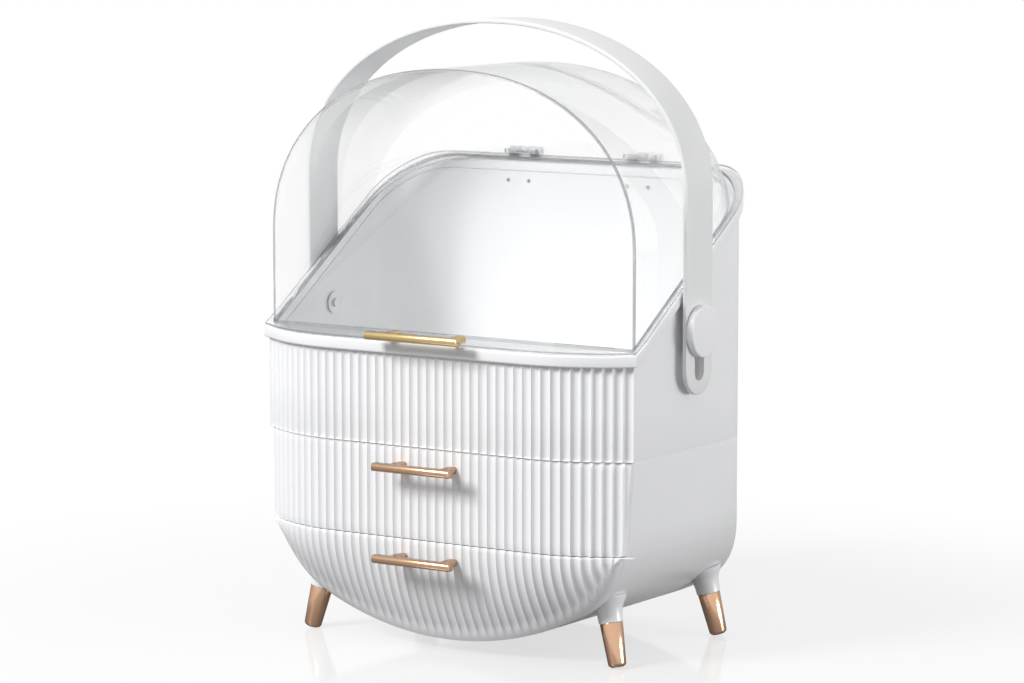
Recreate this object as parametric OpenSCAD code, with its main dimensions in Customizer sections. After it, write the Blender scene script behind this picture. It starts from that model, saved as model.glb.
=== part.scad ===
// Dustproof makeup organizer: a bow-fronted box on four splayed feet, with two
// fluted drawers, an open tray under a clear hinged cover, and a carrying handle
// whose slotted ends slide and turn on two side buttons.
// +Z up, the front faces -Y, origin at the centre of the bounding box's underside.

/* [Body] */
// Width of the body across the side walls, mm
body_w = 275; // [255:1:300]
// Depth of the straight side walls, front corner to back, mm
wall_depth = 155; // [140:1:180]
// Wall thickness of the mouldings, mm
wall = 3; // [2.4:0.2:3.6]
// Clear height under the lowest point of the body, mm
ground_gap = 8; // [6:0.5:12]
// Height of the seam between the two drawers, mm
seam_low_z = 73.6; // [71:0.2:76]
// Height of the seam between the upper drawer and the tray, mm
seam_high_z = 132.3; // [130:0.1:136]
// Height of the rim along the front, mm
rim_front_z = 197.5; // [190:0.5:204]
// Height of the rim along the back, mm
rim_back_z = 300; // [290:1:306]
// Plan radius of the back corners, mm
back_corner_r = 41; // [30:1:50]

/* [Under-curve] */
// Radius of the wide arc under the body, mm
under_r = 213; // [205:1:225]
// Radius of the arc that turns up into the sides, mm
turn_r = 72; // [66:1:76]
// Radius of the nearly straight sides, mm
side_r = 1240; // [1100:10:1400]
// Height at which the sides reach full width, mm
side_z = 190; // [185:1:194]

/* [Bowed front] */
// Half length of the flat middle of the bow, mm
flat_half = 72; // [60:1:78]
// Radius of the bow's shoulders, mm
bow_r = 102; // [90:1:110]
// Angle of the bow at the side walls, degrees
bow_angle = 29.5; // [24:0.5:32]
// Number of flutes across the front
flutes = 44; // [36:2:52]
// Depth of a flute, mm
flute_depth = 1.8; // [0.8:0.1:2]
// Power of the sweep that tucks the lower front under
tuck_power = 1.35; // [1.2:0.05:1.6]
// Height at which the sweep starts, mm
tuck_z = 58; // [54:1:60]
// Thickness of the tucked part, mm
tuck_skin = 4; // [3.6:0.2:5]

/* [Drawers] */
// Gap between neighbouring fronts, mm
front_gap = 1; // [0.6:0.2:1.6]
// Thickness of a front's edge ahead of the housing, mm
front_edge = 2.2; // [1.8:0.2:3]
// Thickness of the upper front's shell, mm
front_skin = 3.4; // [3.2:0.2:4.4]
// Thickness of the drawer walls and floors, mm
box_wall = 1.8; // [1.4:0.2:2.4]
// Room beside the upper drawer box, to the housing wall, mm
upper_side_gap = 18.5; // [17.5:0.5:24]
// Room beside the lower drawer box, to the housing wall, mm
lower_side_gap = 28.5; // [27.5:0.5:36]

/* [Rim and cover] */
// Height of the white lip round the rim, mm
lip_h = 7.5; // [5:0.5:8]
// Overhang of the lip past the wall, mm
lip_over = 2.8; // [2:0.2:3]
// Gap between the cover and the lip, mm
cover_gap = 0.3; // [0.2:0.1:0.5]
// Thickness of the clear cover, mm
cover_t = 2; // [1.6:0.2:2.6]
// Inset of the cover's side from the body's side, mm
cover_inset = 1.7; // [1.5:0.1:3]
// Height at which the cover's arch starts, mm
cover_spring_z = 259; // [250:1:262]
// Height of the top of the cover, mm
cover_top_z = 366; // [360:1:368]
// Roundness of the cover's arch: 2 is an ellipse
cover_power = 2.15; // [2:0.05:2.3]
// Radius of the rounding along the cover's back edge, mm
cover_back_r = 44; // [40:1:46]

/* [Handle] */
// Height of the handle's pivots, mm
pivot_z = 206.5; // [203:0.5:210]
// Distance of the pivots behind the front corners, mm
pivot_back = 65.5; // [64:0.5:80]
// Width of the strap, mm
strap_w = 31.5; // [26:0.5:33]
// Thickness of the strap, mm
strap_t = 3; // [2.4:0.2:3.6]
// Height of the top of the handle over the top of the cover, mm
strap_over = 29.5; // [27:0.5:39]
// Height at which the handle's arch starts, mm
strap_spring_z = 292; // [289:1:294]
// Roundness of the handle's arch: 2 is an ellipse
strap_power = 2.08; // [2.04:0.02:2.2]
// Clearance between the lip and the strap, mm
strap_gap = 1.2; // [1:0.1:2]
// Length of the strap below the pivot, mm
strap_tail = 39.6; // [38:0.2:44]
// Width of the slot in the strap, mm
slot_w = 11; // [9:0.5:12]
// Travel of the strap on its slots, mm
slot_travel = 25.4; // [16:0.2:25.4]
// Radius of the round side buttons, mm
button_r = 16.2; // [14:0.2:18]
// Height of the round side buttons, mm
button_h = 4.6; // [3.6:0.2:6]

/* [Pulls] */
// Length of a drawer pull, mm
pull_len = 58; // [50:1:80]
// Length of the cover's pull, mm
cover_pull_len = 69; // [60:1:90]
// Reach of a drawer pull, mm
pull_reach = 19; // [15:0.5:22]
// Reach of the cover's pull past the flange, mm
cover_pull_reach = 16; // [11:0.5:17]
// Thickness of a pull's bar, mm
pull_t = 5.2; // [4.6:0.2:6]
// Depth of a pull's bar, front to back, mm
pull_d = 5.6; // [5:0.2:6.4]
// Height of the upper pull, mm
upper_pull_z = 120.5; // [100:0.5:122]
// Height of the lower pull, mm
lower_pull_z = 62.5; // [62:0.5:64]

/* [Feet] */
// Distance of a foot's centre from the middle, along the width, mm
foot_x = 117; // [112:1:119]
// Distance of a foot's centre in from the front corner and the back, mm
foot_in = 16; // [15:1:24]
// Outward lean along the width, mm per mm of height
lean_x = 0.235; // [0.2:0.005:0.25]
// Outward lean along the depth, mm per mm of height
lean_y = 0.09; // [0.05:0.01:0.11]
// Length of the metal tip, mm
tip_len = 27; // [24:0.5:28]
// Diameter of the tip at its foot, mm
tip_foot_d = 11.2; // [10:0.2:12.4]
// Diameter of the tip at its top, mm
tip_top_d = 14.6; // [13.4:0.2:15.2]
// Diameter of the white socket at its root, mm
socket_d = 18; // [16:0.5:20]
// Height of the clear foot pad, mm
pad_h = 1.6; // [1.2:0.2:2.4]

/* [Hinges] */
// Distance of each hinge from the middle, mm
hinge_x = 46; // [40:1:60]
// Radius of the hinge barrels, mm
barrel_r = 3; // [2.6:0.2:3]
// Radius of the hinge pins, mm
hinge_pin_r = 1.2; // [1:0.1:1.4]
// Length of a hinge, mm
hinge_len = 24; // [20:1:30]

/* [Fasteners] */
// Radius of a screw's shank, mm
screw_r = 1.3; // [1.1:0.1:1.4]
// Radius of a screw's head, mm
head_r = 2.8; // [2.4:0.1:3]
// Clearance round a shank where it passes a part, mm
shank_gap = 0.3; // [0.2:0.1:0.4]

/* [Hidden] */
$fn = 48;
half = body_w / 2;
upper_box_half = half - wall - upper_side_gap;
lower_box_half = half - wall - lower_side_gap;
cover_half = half - cover_inset;
strap_top_z = cover_top_z + strap_over;
screw_grip = 7.5;
tier_screw_len = 9.2;
white = [0.95, 0.95, 0.95];
clear = [0.85, 0.9, 0.93, 0.35];
gold = [0.83, 0.64, 0.5];
steel = [0.75, 0.75, 0.77];

// Depth of the bow ahead of the front corners, and the layout along Y
sweep_x = flat_half + bow_r * sin(bow_angle);
end_run = half - sweep_x;
bow_depth = bow_r * (1 - cos(bow_angle)) + end_run * tan(bow_angle);
axis_back = lip_over + 0.7 + barrel_r;
corner_y = (pull_reach + bow_depth - wall_depth - axis_back - barrel_r) / 2;
back_y = corner_y + wall_depth;
front_y = corner_y - bow_depth;
rear_y = corner_y + front_edge;
open_y = rear_y + 0.3;
pivot_y = corner_y + pivot_back;

// Arc lengths along the bow
shoulder_len = bow_r * bow_angle * PI / 180;
half_len = flat_half + shoulder_len + end_run / cos(bow_angle);
pitch = 2 * half_len / flutes;
steps = 6;

// Direction of the bow at arc length s, and the point there, moved outward by o
function bow_ang(s) =
    abs(s) < flat_half ? 0
    : sign(s) * min(bow_angle, (abs(s) - flat_half) / bow_r * 180 / PI);
function bow_x(s) =
    let (a = abs(bow_ang(s)), q = max(0, abs(s) - flat_half - shoulder_len))
    sign(s) * (min(abs(s), flat_half) + bow_r * sin(a) + q * cos(a));
function bow_y(s) =
    let (a = abs(bow_ang(s)), q = max(0, abs(s) - flat_half - shoulder_len))
    front_y + bow_r * (1 - cos(a)) + q * sin(a);
function bow_pt(s, o) = [bow_x(s) + o * sin(bow_ang(s)), bow_y(s) - o * cos(bow_ang(s))];
function flute(s) =
    let (u = (s + half_len) / pitch - floor((s + half_len) / pitch + 0.0001))
    -flute_depth * 4 * u * (1 - u);
function fluted(n) = [for (i = [0:n]) let (s = -half_len + i * 2 * half_len / n) bow_pt(s, flute(s))];

// Plan outline, moved outward by o: smooth front, straight sides, round back corners
function miter(o) = [half + o, corner_y - o * cos(bow_angle) / (1 + sin(bow_angle))];
function smooth_front(o) = concat(
    [[-miter(o)[0], miter(o)[1]]],
    [for (i = [-12:12])
        let (s = sign(i) * (flat_half + (abs(i) - 1) / 11 * shoulder_len))
        if (i != 0) bow_pt(s, o)],
    [miter(o)]
);
function back_corners(o) = concat(
    [for (i = [0:12]) let (a = i * 7.5)
        [half - back_corner_r + (back_corner_r + o) * cos(a), back_y - back_corner_r + (back_corner_r + o) * sin(a)]],
    [for (i = [0:12]) let (a = 90 + i * 7.5)
        [-half + back_corner_r + (back_corner_r + o) * cos(a), back_y - back_corner_r + (back_corner_r + o) * sin(a)]]
);
function plan(o) = concat(smooth_front(o), back_corners(o));

// Under-curve of the body: three tangent arcs, moved inward by o
c1 = [0, ground_gap + under_r];
c3 = [half - side_r, side_z];
d1 = under_r - turn_r;
d3 = side_r - turn_r;
c13 = norm(c3 - c1);
c_along = (d1 * d1 - d3 * d3 + c13 * c13) / (2 * c13);
c_off = sqrt(d1 * d1 - c_along * c_along);
c_dir = (c3 - c1) / c13;
c_sols = [for (k = [-1, 1]) c1 + c_along * c_dir + k * c_off * [-c_dir[1], c_dir[0]]];
c2 = c_sols[0][0] - c_sols[0][1] > c_sols[1][0] - c_sols[1][1] ? c_sols[0] : c_sols[1];
ang1 = atan2(c2[1] - c1[1], c2[0] - c1[0]);
ang3 = atan2(c2[1] - c3[1], c2[0] - c3[0]);
function arc(c, r, a, b, n) = [for (i = [0:n]) c + r * [cos(a + (b - a) * i / n), sin(a + (b - a) * i / n)]];
function u_right(o) = concat(
    arc(c1, under_r - o, -90, ang1, 12),
    arc(c2, turn_r - o, ang1, ang3, 16),
    [for (i = [1:8]) c3 + (side_r - o) * [cos(ang3 * (1 - i / 8)), sin(ang3 * (1 - i / 8))]]
);
function mirrored(p) = [for (i = [len(p) - 1:-1:0]) [-p[i][0], p[i][1]]];
function cut_end(p) = [for (i = [0:len(p) - 1]) if (i == 0 || norm(p[i] - p[i - 1]) > 0.01) p[i]];
u_top = 320;
function u_shape(o) =
    let (r = cut_end(u_right(o)))
    concat([[-half + o, u_top]], mirrored(r), [for (i = [1:len(r) - 1]) r[i]], [[half - o, u_top]]);
function u_low(x) =
    let (a = abs(x), t1 = c1[0] + under_r * cos(ang1), t3 = c3[0] + side_r * cos(ang3))
    a < t1 ? c1[1] - sqrt(under_r * under_r - a * a)
    : a < t3 ? c2[1] - sqrt(turn_r * turn_r - (a - c2[0]) * (a - c2[0]))
    : c3[1] - sqrt(side_r * side_r - (a - c3[0]) * (a - c3[0]));

// Height of the rim line at y
rim_slope = (rim_back_z - rim_front_z) / wall_depth;
function rim_z(y) = rim_front_z + rim_slope * min(wall_depth, max(0, y - corner_y));

module along_y(pts, y0, y1) {
    translate([0, y1, 0])
        rotate([90, 0, 0])
            linear_extrude(y1 - y0) polygon(pts);
}

module along_x(pts, x0, x1) {
    translate([x0, 0, 0])
        rotate([90, 0, 90])
            linear_extrude(x1 - x0) polygon(pts);
}

module along_z(pts, z0, z1) {
    translate([0, 0, z0])
        linear_extrude(z1 - z0) polygon(pts);
}

// Everything below the rim line moved up by s
module below_rim(s) {
    along_x([[-300, -10], [300, -10], [300, rim_back_z + s], [back_y, rim_back_z + s],
        [corner_y, rim_front_z + s], [-300, rim_front_z + s]], -300, 300);
}

module rod_x(r, x0, x1, y, z) {
    translate([x0, y, z]) rotate([0, 90, 0]) cylinder(r = r, h = x1 - x0);
}

module rod_y(r, y0, y1, x, z) {
    translate([x, y0, z]) rotate([-90, 0, 0]) cylinder(r = r, h = y1 - y0);
}

module block(x0, x1, y0, y1, z0, z1) {
    translate([x0, y0, z0]) cube([x1 - x0, y1 - y0, z1 - z0]);
}

// ---- housing ----
tray_floor = seam_high_z + wall;
lug_x = 122;
lug_ys = [open_y + 9, back_y - 34];
tier_screw_x = 125.5;
shelf_z0 = seam_low_z - 1.2;
shelf_t = 2.4;
shelf_top = shelf_z0 + shelf_t;

module housing_solid(o, top, y0, y1) {
    intersection() {
        along_y(u_shape(o), y0, y1);
        along_z(plan(-o), 0, top);
    }
}

module lower_housing() {
    color(white)
    difference() {
        union() {
            difference() {
                housing_solid(0, seam_high_z, open_y, back_y);
                housing_solid(wall, seam_high_z + 1, open_y - 1, back_y - wall);
            }
            intersection() {
                union() {
                    for (y = lug_ys) {
                        block(lug_x, half, y - 4.5, y + 4.5, seam_high_z - 11, seam_high_z);
                        block(-half, -lug_x, y - 4.5, y + 4.5, seam_high_z - 11, seam_high_z);
                    }
                }
                housing_solid(wall / 2, seam_high_z, open_y, back_y);
            }
        }
        for (sx = [-1, 1])
            for (y = lug_ys)
                translate([sx * tier_screw_x, y, seam_high_z - 9.5]) cylinder(r = screw_r, h = 10);
        for (sx = [-1, 1])
            for (sy = [0, 1])
                leg_frame(sx, sy) translate([0, 0, 20]) cylinder(r = screw_r + shank_gap, h = 60);
    }
}

module shelf() {
    color(white)
    intersection() {
        housing_solid(wall, seam_high_z, open_y, back_y - wall);
        block(-half, half, open_y, back_y - wall, shelf_z0, shelf_top);
    }
}

// Rails: the upper drawer rides on the shelf, the lower one hangs on side ledges
rail_y0 = open_y + 5;
rail_y1 = back_y - wall - 12;
rail_t = 2.2;
rail_foot = 10;
rail_gap = 0.5;
rail_guide_t = 3;
rail_guide_h = 11;
ledge_gap = 3;
ledge_short = 22;
ledge_z0 = 59.5;
ledge_z1 = 63;

module upper_rail_right() {
    x0 = upper_box_half - rail_foot;
    x1 = upper_box_half + rail_gap;
    x2 = x1 + rail_guide_t;
    color(white)
    along_y([[x0, shelf_top], [x2, shelf_top], [x2, shelf_top + rail_guide_h], [x1, shelf_top + rail_guide_h],
        [x1, shelf_top + rail_t], [x0, shelf_top + rail_t]], rail_y0, rail_y1);
}

module upper_rail_left() {
    mirror([1, 0, 0]) upper_rail_right();
}

module lower_rail_right() {
    color(white)
    intersection() {
        housing_solid(wall, seam_high_z, open_y, back_y - wall);
        block(lower_box_half + ledge_gap, half, rail_y0, rail_y1 - ledge_short, ledge_z0, ledge_z1);
    }
}

module lower_rail_left() {
    mirror([1, 0, 0]) lower_rail_right();
}

// ---- tray moulding and its lip ----
module top_tier() {
    color(white)
    difference() {
        intersection() {
            along_z(concat(fluted(flutes * steps), back_corners(0)), seam_high_z, rim_back_z + 1);
            below_rim(-lip_h);
        }
        along_z(plan(-wall), tray_floor, rim_back_z + 2);
        for (sx = [-1, 1])
            for (y = lug_ys)
                translate([sx * tier_screw_x, y, seam_high_z - 1]) {
                    cylinder(r = screw_r + shank_gap, h = wall + 2);
                    translate([0, 0, 2.2]) cylinder(r = head_r + 0.2, h = 3);
                }
        rod_x(axle_r + 0.08, -half - 1, half + 1, pivot_y, pivot_z);
        for (sx = [-1, 1])
            for (dx = [-1, 1])
                rod_y(screw_r, back_y - wall - 1, back_y + 1, sx * hinge_x + dx * 8, hinge_screw_z);
    }
}

module rim_trim() {
    color(white)
    intersection() {
        difference() {
            along_z(plan(lip_over), rim_front_z - lip_h - 1, rim_back_z + 1);
            along_z(plan(-wall), rim_front_z - lip_h - 2, rim_back_z + 2);
        }
        difference() {
            below_rim(0);
            below_rim(-lip_h);
        }
    }
}

module tier_screws() {
    color(steel)
    for (sx = [-1, 1])
        for (y = lug_ys)
            translate([sx * tier_screw_x, y, seam_high_z - 8]) {
                cylinder(r = screw_r, h = tier_screw_len + 0.2);
                translate([0, 0, tier_screw_len]) cylinder(r = head_r, h = 1.6);
            }
}

// ---- pulls ----
// A straight bar with rounded front edges on two posts, with its feet on the line y = 0
post_in = 10;
post_w = 5;
pull_edge = 1.8;
post_top = 1.8;
module pull_bar(len, reach, z) {
    edge_z = pull_t / 2 - pull_edge;
    block(-len / 2, len / 2, -reach + pull_edge, -reach + pull_d, z - pull_t / 2, z + pull_t / 2);
    block(-len / 2, len / 2, -reach, -reach + pull_d, z - edge_z, z + edge_z);
    for (sz = [-1, 1])
        rod_x(pull_edge, -len / 2, len / 2, -reach + pull_edge, z + sz * edge_z);
    for (sx = [-1, 1])
        translate([sx * (len / 2 - post_in), 0, 0])
            block(-post_w / 2, post_w / 2, -reach + pull_edge, 0, z - pull_t / 2, z + post_top);
}

module drawer_pull(z, y) {
    difference() {
        translate([0, y, 0]) pull_bar(pull_len, pull_reach, z);
        for (sx = [-1, 1])
            rod_y(pull_screw_r, y - 9, y + 1, sx * pull_hole_x, z);
    }
}

pull_screw_r = 1.1;
pull_hole_x = pull_len / 2 - post_in;
boss_r = 3.4;

module pull_screw(y0, y1, z) {
    for (sx = [-1, 1]) {
        rod_y(pull_screw_r, y0, y1 + 0.5, sx * pull_hole_x, z);
        rod_y(head_r, y1, y1 + 1.6, sx * pull_hole_x, z);
    }
}

// ---- upper drawer ----
upper_z0 = seam_low_z + front_gap / 2;
upper_z1 = seam_high_z - front_gap;
upper_floor_z = shelf_top + rail_t + 0.2;
upper_box_top = seam_high_z - 14;
box_back = back_y - wall - 10;

module drawer_upper_front() {
    color(white)
    difference() {
        union() {
            intersection() {
                along_z(concat(fluted(flutes * steps), [[half, rear_y], [-half, rear_y]]), upper_z0, upper_z1);
                along_y(u_shape(0), front_y - 5, rear_y);
            }
            for (sx = [-1, 1])
                rod_y(boss_r, front_y, front_y + 2.5, sx * pull_hole_x, upper_pull_z);
        }
        intersection() {
            along_z(concat(smooth_front(-front_skin), [[half, rear_y + 9], [-half, rear_y + 9]]), upper_z0 - 1, upper_z1 + 1);
            block(-upper_box_half, upper_box_half, front_y - 5, rear_y + 5, upper_z0 - 1, upper_z1 + 1);
        }
        for (sx = [-1, 1])
            rod_y(pull_screw_r + shank_gap, front_y - 1, front_y + 6, sx * pull_hole_x, upper_pull_z);
    }
}

module upper_box_block(o, z0, z1) {
    intersection() {
        along_z(concat(smooth_front(-front_skin - o), [[half, box_back - o], [-half, box_back - o]]), z0, z1);
        block(-upper_box_half + o, upper_box_half - o, front_y - 5, box_back - o, z0, z1);
    }
}

module drawer_upper_box() {
    color(white)
    difference() {
        union() {
            difference() {
                upper_box_block(0, upper_floor_z, upper_box_top);
                upper_box_block(box_wall, upper_floor_z + box_wall, upper_box_top + 1);
            }
            for (sx = [-1, 1])
                block(sx * pull_hole_x - 5, sx * pull_hole_x + 5, front_y + front_skin, front_y + front_skin + box_wall,
                    upper_box_top - 1, upper_pull_z + 5);
        }
        for (sx = [-1, 1])
            rod_y(pull_screw_r + shank_gap, front_y, front_y + 9, sx * pull_hole_x, upper_pull_z);
    }
}

module drawer_upper_pull() {
    color(gold) drawer_pull(upper_pull_z, front_y);
}

module drawer_upper_screws() {
    color(steel) pull_screw(front_y - screw_grip, front_y + front_skin + box_wall, upper_pull_z);
}

// ---- lower drawer ----
lower_z1 = seam_low_z - front_gap / 2;
pocket_half = flat_half + 4;
tuck_step = pitch / 4;
tuck_rows = 12;
back_rows = 6;
// The tucked part ends where the under-curve comes close below its top edge
function tuck_count(k) = u_low(bow_x((k + 1) * tuck_step)) > tuck_z - 3 ? k : tuck_count(k + 1);
tuck_k = tuck_count(20);
function tuck(z, zl) = pow(max(0, 1 - (z - zl) / (tuck_z - zl)), tuck_power);
function fade(h) = min(1, max(0, (h - 1) / 10));
function tuck_pt(s, j) =
    let (
        b = bow_pt(s, 0),
        zl = u_low(b[0]),
        z = zl + (tuck_z - zl) * pow(j / tuck_rows, 1.15),
        f = tuck(z, zl),
        d = flute(s) * fade(z - zl) * (1 - f / 2),
        y = b[1] - d * cos(bow_ang(s))
    )
    [b[0] + d * sin(bow_ang(s)) * (1 - f), y + (corner_y - y) * f, z];
function tuck_back(s, j) =
    let (b = bow_pt(s, 0), zl = u_low(b[0]), z = zl + (tuck_z - zl) * (1 - j / back_rows), f = tuck(z, zl))
    [b[0], min(rear_y, b[1] + (corner_y - b[1]) * f + tuck_skin), z];
ring = tuck_rows + back_rows + 2;
tuck_pts = [for (i = [-tuck_k:tuck_k]) for (j = [0:ring - 1])
    j <= tuck_rows ? tuck_pt(i * tuck_step, j) : tuck_back(i * tuck_step, j - tuck_rows - 1)];
tuck_faces = concat(
    [for (i = [0:2 * tuck_k - 1]) for (j = [0:ring - 1])
        let (k = (j + 1) % ring, a = i * ring, b = (i + 1) * ring)
        [a + j, a + k, b + k]],
    [for (i = [0:2 * tuck_k - 1]) for (j = [0:ring - 1])
        let (k = (j + 1) % ring, a = i * ring, b = (i + 1) * ring)
        [a + j, b + k, b + j]],
    [[for (j = [ring - 1:-1:0]) j]],
    [[for (j = [0:ring - 1]) 2 * tuck_k * ring + j]]
);

module drawer_lower_front() {
    color(white)
    difference() {
        union() {
            intersection() {
                along_z(concat(fluted(flutes * steps), [[half, rear_y], [-half, rear_y]]), tuck_z, lower_z1);
                along_y(u_shape(0), front_y - 5, rear_y);
            }
            for (sx = [-1, 1])
                intersection() {
                    rod_y(boss_r, front_y, front_y + 2.5, sx * pull_hole_x, lower_pull_z);
                    block(-half, half, front_y - 1, rear_y, tuck_z, lower_z1);
                }
        }
        block(-pocket_half, pocket_half, front_y + 6, rear_y + 1, tuck_z - 1, lower_z1 - 3);
        for (sx = [-1, 1])
            rod_y(pull_screw_r + shank_gap, front_y - 1, rear_y + 1, sx * pull_hole_x, lower_pull_z);
    }
}

module drawer_lower_tuck() {
    color(white) polyhedron(points = tuck_pts, faces = tuck_faces, convexity = 10);
}

leg_head_room = 7.5;
flange_w = 11;
lower_inset = wall + leg_head_room;
lower_box_top = ledge_z1 + 2.6;

module lower_box_block(o, z1, y0, y1) {
    intersection() {
        along_y(u_shape(lower_inset + o), y0, y1);
        block(-lower_box_half + o, lower_box_half - o, y0, y1, 0, z1);
    }
}

module drawer_lower_box() {
    color(white)
    difference() {
        union() {
            lower_box_block(0, lower_box_top, rear_y, box_back);
            for (sx = [-1, 1])
                block(sx > 0 ? lower_box_half - 1 : -lower_box_half - flange_w, sx > 0 ? lower_box_half + flange_w : -lower_box_half + 1,
                    rear_y, box_back - 30, ledge_z1 + 0.2, lower_box_top);
        }
        lower_box_block(box_wall, lower_box_top + 1, rear_y + box_wall, box_back - box_wall);
        for (sx = [-1, 1])
            rod_y(pull_screw_r + shank_gap, rear_y - 1, rear_y + 5, sx * pull_hole_x, lower_pull_z);
    }
}

module drawer_lower_pull() {
    color(gold) drawer_pull(lower_pull_z, front_y);
}

module drawer_lower_screws() {
    color(steel) pull_screw(front_y - screw_grip, rear_y + box_wall, lower_pull_z);
}

// ---- clear cover ----
cover_front = corner_y + 1.9;
cover_back = back_y - 1.9;
cover_base = cover_gap;
cover_rise = cover_top_z - cover_spring_z;
turns = 8;
arch_n = 40;
function arch_pt(a, d) =
    let (
        x = cover_half * pow(abs(cos(a)), 2 / cover_power) * sign(cos(a)),
        z = cover_rise * pow(sin(a), 2 / cover_power),
        nx = sign(x) * pow(abs(x) / cover_half, cover_power - 1) / cover_half,
        nz = pow(z / cover_rise, cover_power - 1) / cover_rise,
        l = norm([nx, nz])
    )
    [x - d * nx / l, cover_spring_z + z - d * nz / l];
// The cover's wall runs straight back to turn_y, then turns in to the back panel
turn_y = cover_back - cover_back_r;
function arch_outline(d, z0) = concat(
    [[-cover_half + d, z0]],
    [for (i = [0:arch_n]) arch_pt(180 - 180 * i / arch_n, d)],
    [[cover_half - d, z0]]
);
// Sections of the turned back part: [y, inset], for the outside (t = 0) and the inside
function sections(t) = [for (i = [0:turns]) let (a = 90 * i / turns)
    [turn_y + (cover_back_r - t) * sin(a), cover_back_r - (cover_back_r - t) * cos(a)]];
sec_n = turns + 1;
arch_len = arch_n + 3;
// Angle at which the arch moved inward by d is at height z
function arch_low(z, d, lo = 0, hi = 90, n = 18) =
    n == 0 ? (lo + hi) / 2
    : arch_pt((lo + hi) / 2, d)[1] < z ? arch_low(z, d, (lo + hi) / 2, hi, n - 1)
    : arch_low(z, d, lo, (lo + hi) / 2, n - 1);
function section_pts(s) =
    let (z0 = rim_z(s[0]) + cover_base, a0 = arch_low(z0, s[1]), n = arch_len - 1)
    [for (i = [0:n])
        let (p = arch_pt(180 - a0 - (180 - 2 * a0) * i / n, s[1]))
        [p[0], s[0], i == 0 || i == n ? z0 : p[1]]];
outer_secs = sections(0);
inner_secs = sections(cover_t);
cover_pts = concat(
    [for (s = outer_secs) each section_pts(s)],
    [for (s = inner_secs) each section_pts(s)]
);
half_n = sec_n * arch_len;
last_n = (sec_n - 1) * arch_len;
function grid_faces(base, flip) = [for (j = [0:sec_n - 2]) for (i = [0:arch_len - 2]) for (h = [0, 1])
    let (
        a = base + j * arch_len + i,
        b = a + 1,
        c = a + arch_len + 1,
        d = a + arch_len
    )
    flip ? (h == 0 ? [a, b, c] : [a, c, d]) : (h == 0 ? [a, c, b] : [a, d, c])];
function edge_faces() = concat(
    [for (j = [0:sec_n - 2]) for (e = [0, arch_len - 1])
        let (
            a = j * arch_len + e,
            b = a + arch_len,
            c = b + half_n,
            d = a + half_n
        )
        e == 0 ? [a, d, c, b] : [a, b, c, d]],
    [for (i = [0:arch_len - 2]) [i, i + 1, i + 1 + half_n, i + half_n]],
    [[last_n, last_n + half_n, last_n + arch_len - 1 + half_n, last_n + arch_len - 1]]
);
cover_faces = concat(
    grid_faces(0, false),
    grid_faces(half_n, true),
    edge_faces(),
    [[for (i = [arch_len - 1:-1:0]) last_n + i]],
    [[for (i = [0:arch_len - 1]) half_n + last_n + i]]
);

module cover_front_shell() {
    color(clear)
    difference() {
        along_y(arch_outline(0, rim_front_z - 5), cover_front, turn_y);
        along_y(arch_outline(cover_t, rim_front_z - 6), cover_front + cover_t, turn_y + 1);
        below_rim(cover_base);
    }
}

module cover_back_shell() {
    color(clear) polyhedron(points = cover_pts, faces = cover_faces, convexity = 8);
}

cover_plan = concat(
    [[cover_half, cover_front]],
    [for (s = outer_secs) [cover_half - s[1], s[0]]],
    [for (i = [sec_n - 1:-1:0]) [-cover_half + outer_secs[i][1], outer_secs[i][0]]],
    [[-cover_half, cover_front]]
);

module cover_flange() {
    color(clear)
    intersection() {
        difference() {
            along_z(plan(lip_over - 0.5), rim_front_z - 1, rim_back_z + 4);
            along_z(cover_plan, rim_front_z - 2, rim_back_z + 5);
        }
        difference() {
            below_rim(cover_base + cover_t);
            below_rim(cover_base);
        }
    }
}

flange_front = front_y - lip_over + 0.5;
cover_pull_z = rim_front_z + cover_base + cover_t + pull_t / 2;

module cover_pull() {
    color(gold)
    translate([0, flange_front + 5, 0]) pull_bar(cover_pull_len, cover_pull_reach + 5, cover_pull_z);
}

// ---- hinges ----
axis_y = back_y + axis_back;
axis_z = rim_back_z + 3.4;
hinge_screw_z = rim_back_z - lip_h - 8;
knuckle = (hinge_len - 0.8) / 3;

module hinge_body_at(x) {
    color(white)
    difference() {
        union() {
            block(x - hinge_len / 2, x + hinge_len / 2, back_y, back_y + 1.6, rim_back_z - lip_h - 14, rim_back_z - lip_h - 1);
            block(x - hinge_len / 2, x + hinge_len / 2, back_y, axis_y + barrel_r - 1, rim_back_z - lip_h - 3, rim_back_z - lip_h - 1);
            for (sx = [-1, 1]) {
                block(x + sx * (hinge_len - knuckle) / 2 - knuckle / 2, x + sx * (hinge_len - knuckle) / 2 + knuckle / 2,
                    axis_y - 2, axis_y + barrel_r - 1, rim_back_z - lip_h - 3, axis_z);
                rod_x(barrel_r, x + sx * (hinge_len - knuckle) / 2 - knuckle / 2,
                    x + sx * (hinge_len - knuckle) / 2 + knuckle / 2, axis_y, axis_z);
            }
        }
        rod_x(hinge_pin_r, x - hinge_len, x + hinge_len, axis_y, axis_z);
        for (dx = [-1, 1])
            rod_y(screw_r, back_y - 1, back_y + 3, x + dx * 8, hinge_screw_z);
    }
}

module hinge_cover_at(x) {
    color(clear)
    difference() {
        union() {
            rod_x(barrel_r, x - knuckle / 2, x + knuckle / 2, axis_y, axis_z);
            block(x - knuckle / 2, x + knuckle / 2, cover_back + 0.4, axis_y, rim_back_z + cover_base + cover_t, axis_z + barrel_r - 1.2);
            block(x - hinge_len / 2, x + hinge_len / 2, cover_back + 0.4, back_y + 1.6, rim_back_z + cover_base + cover_t,
                axis_z + barrel_r - 1.2);
        }
        rod_x(hinge_pin_r + 0.06, x - hinge_len, x + hinge_len, axis_y, axis_z);
    }
}

module hinge_body_right() {
    hinge_body_at(hinge_x);
}

module hinge_body_left() {
    hinge_body_at(-hinge_x);
}

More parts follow.
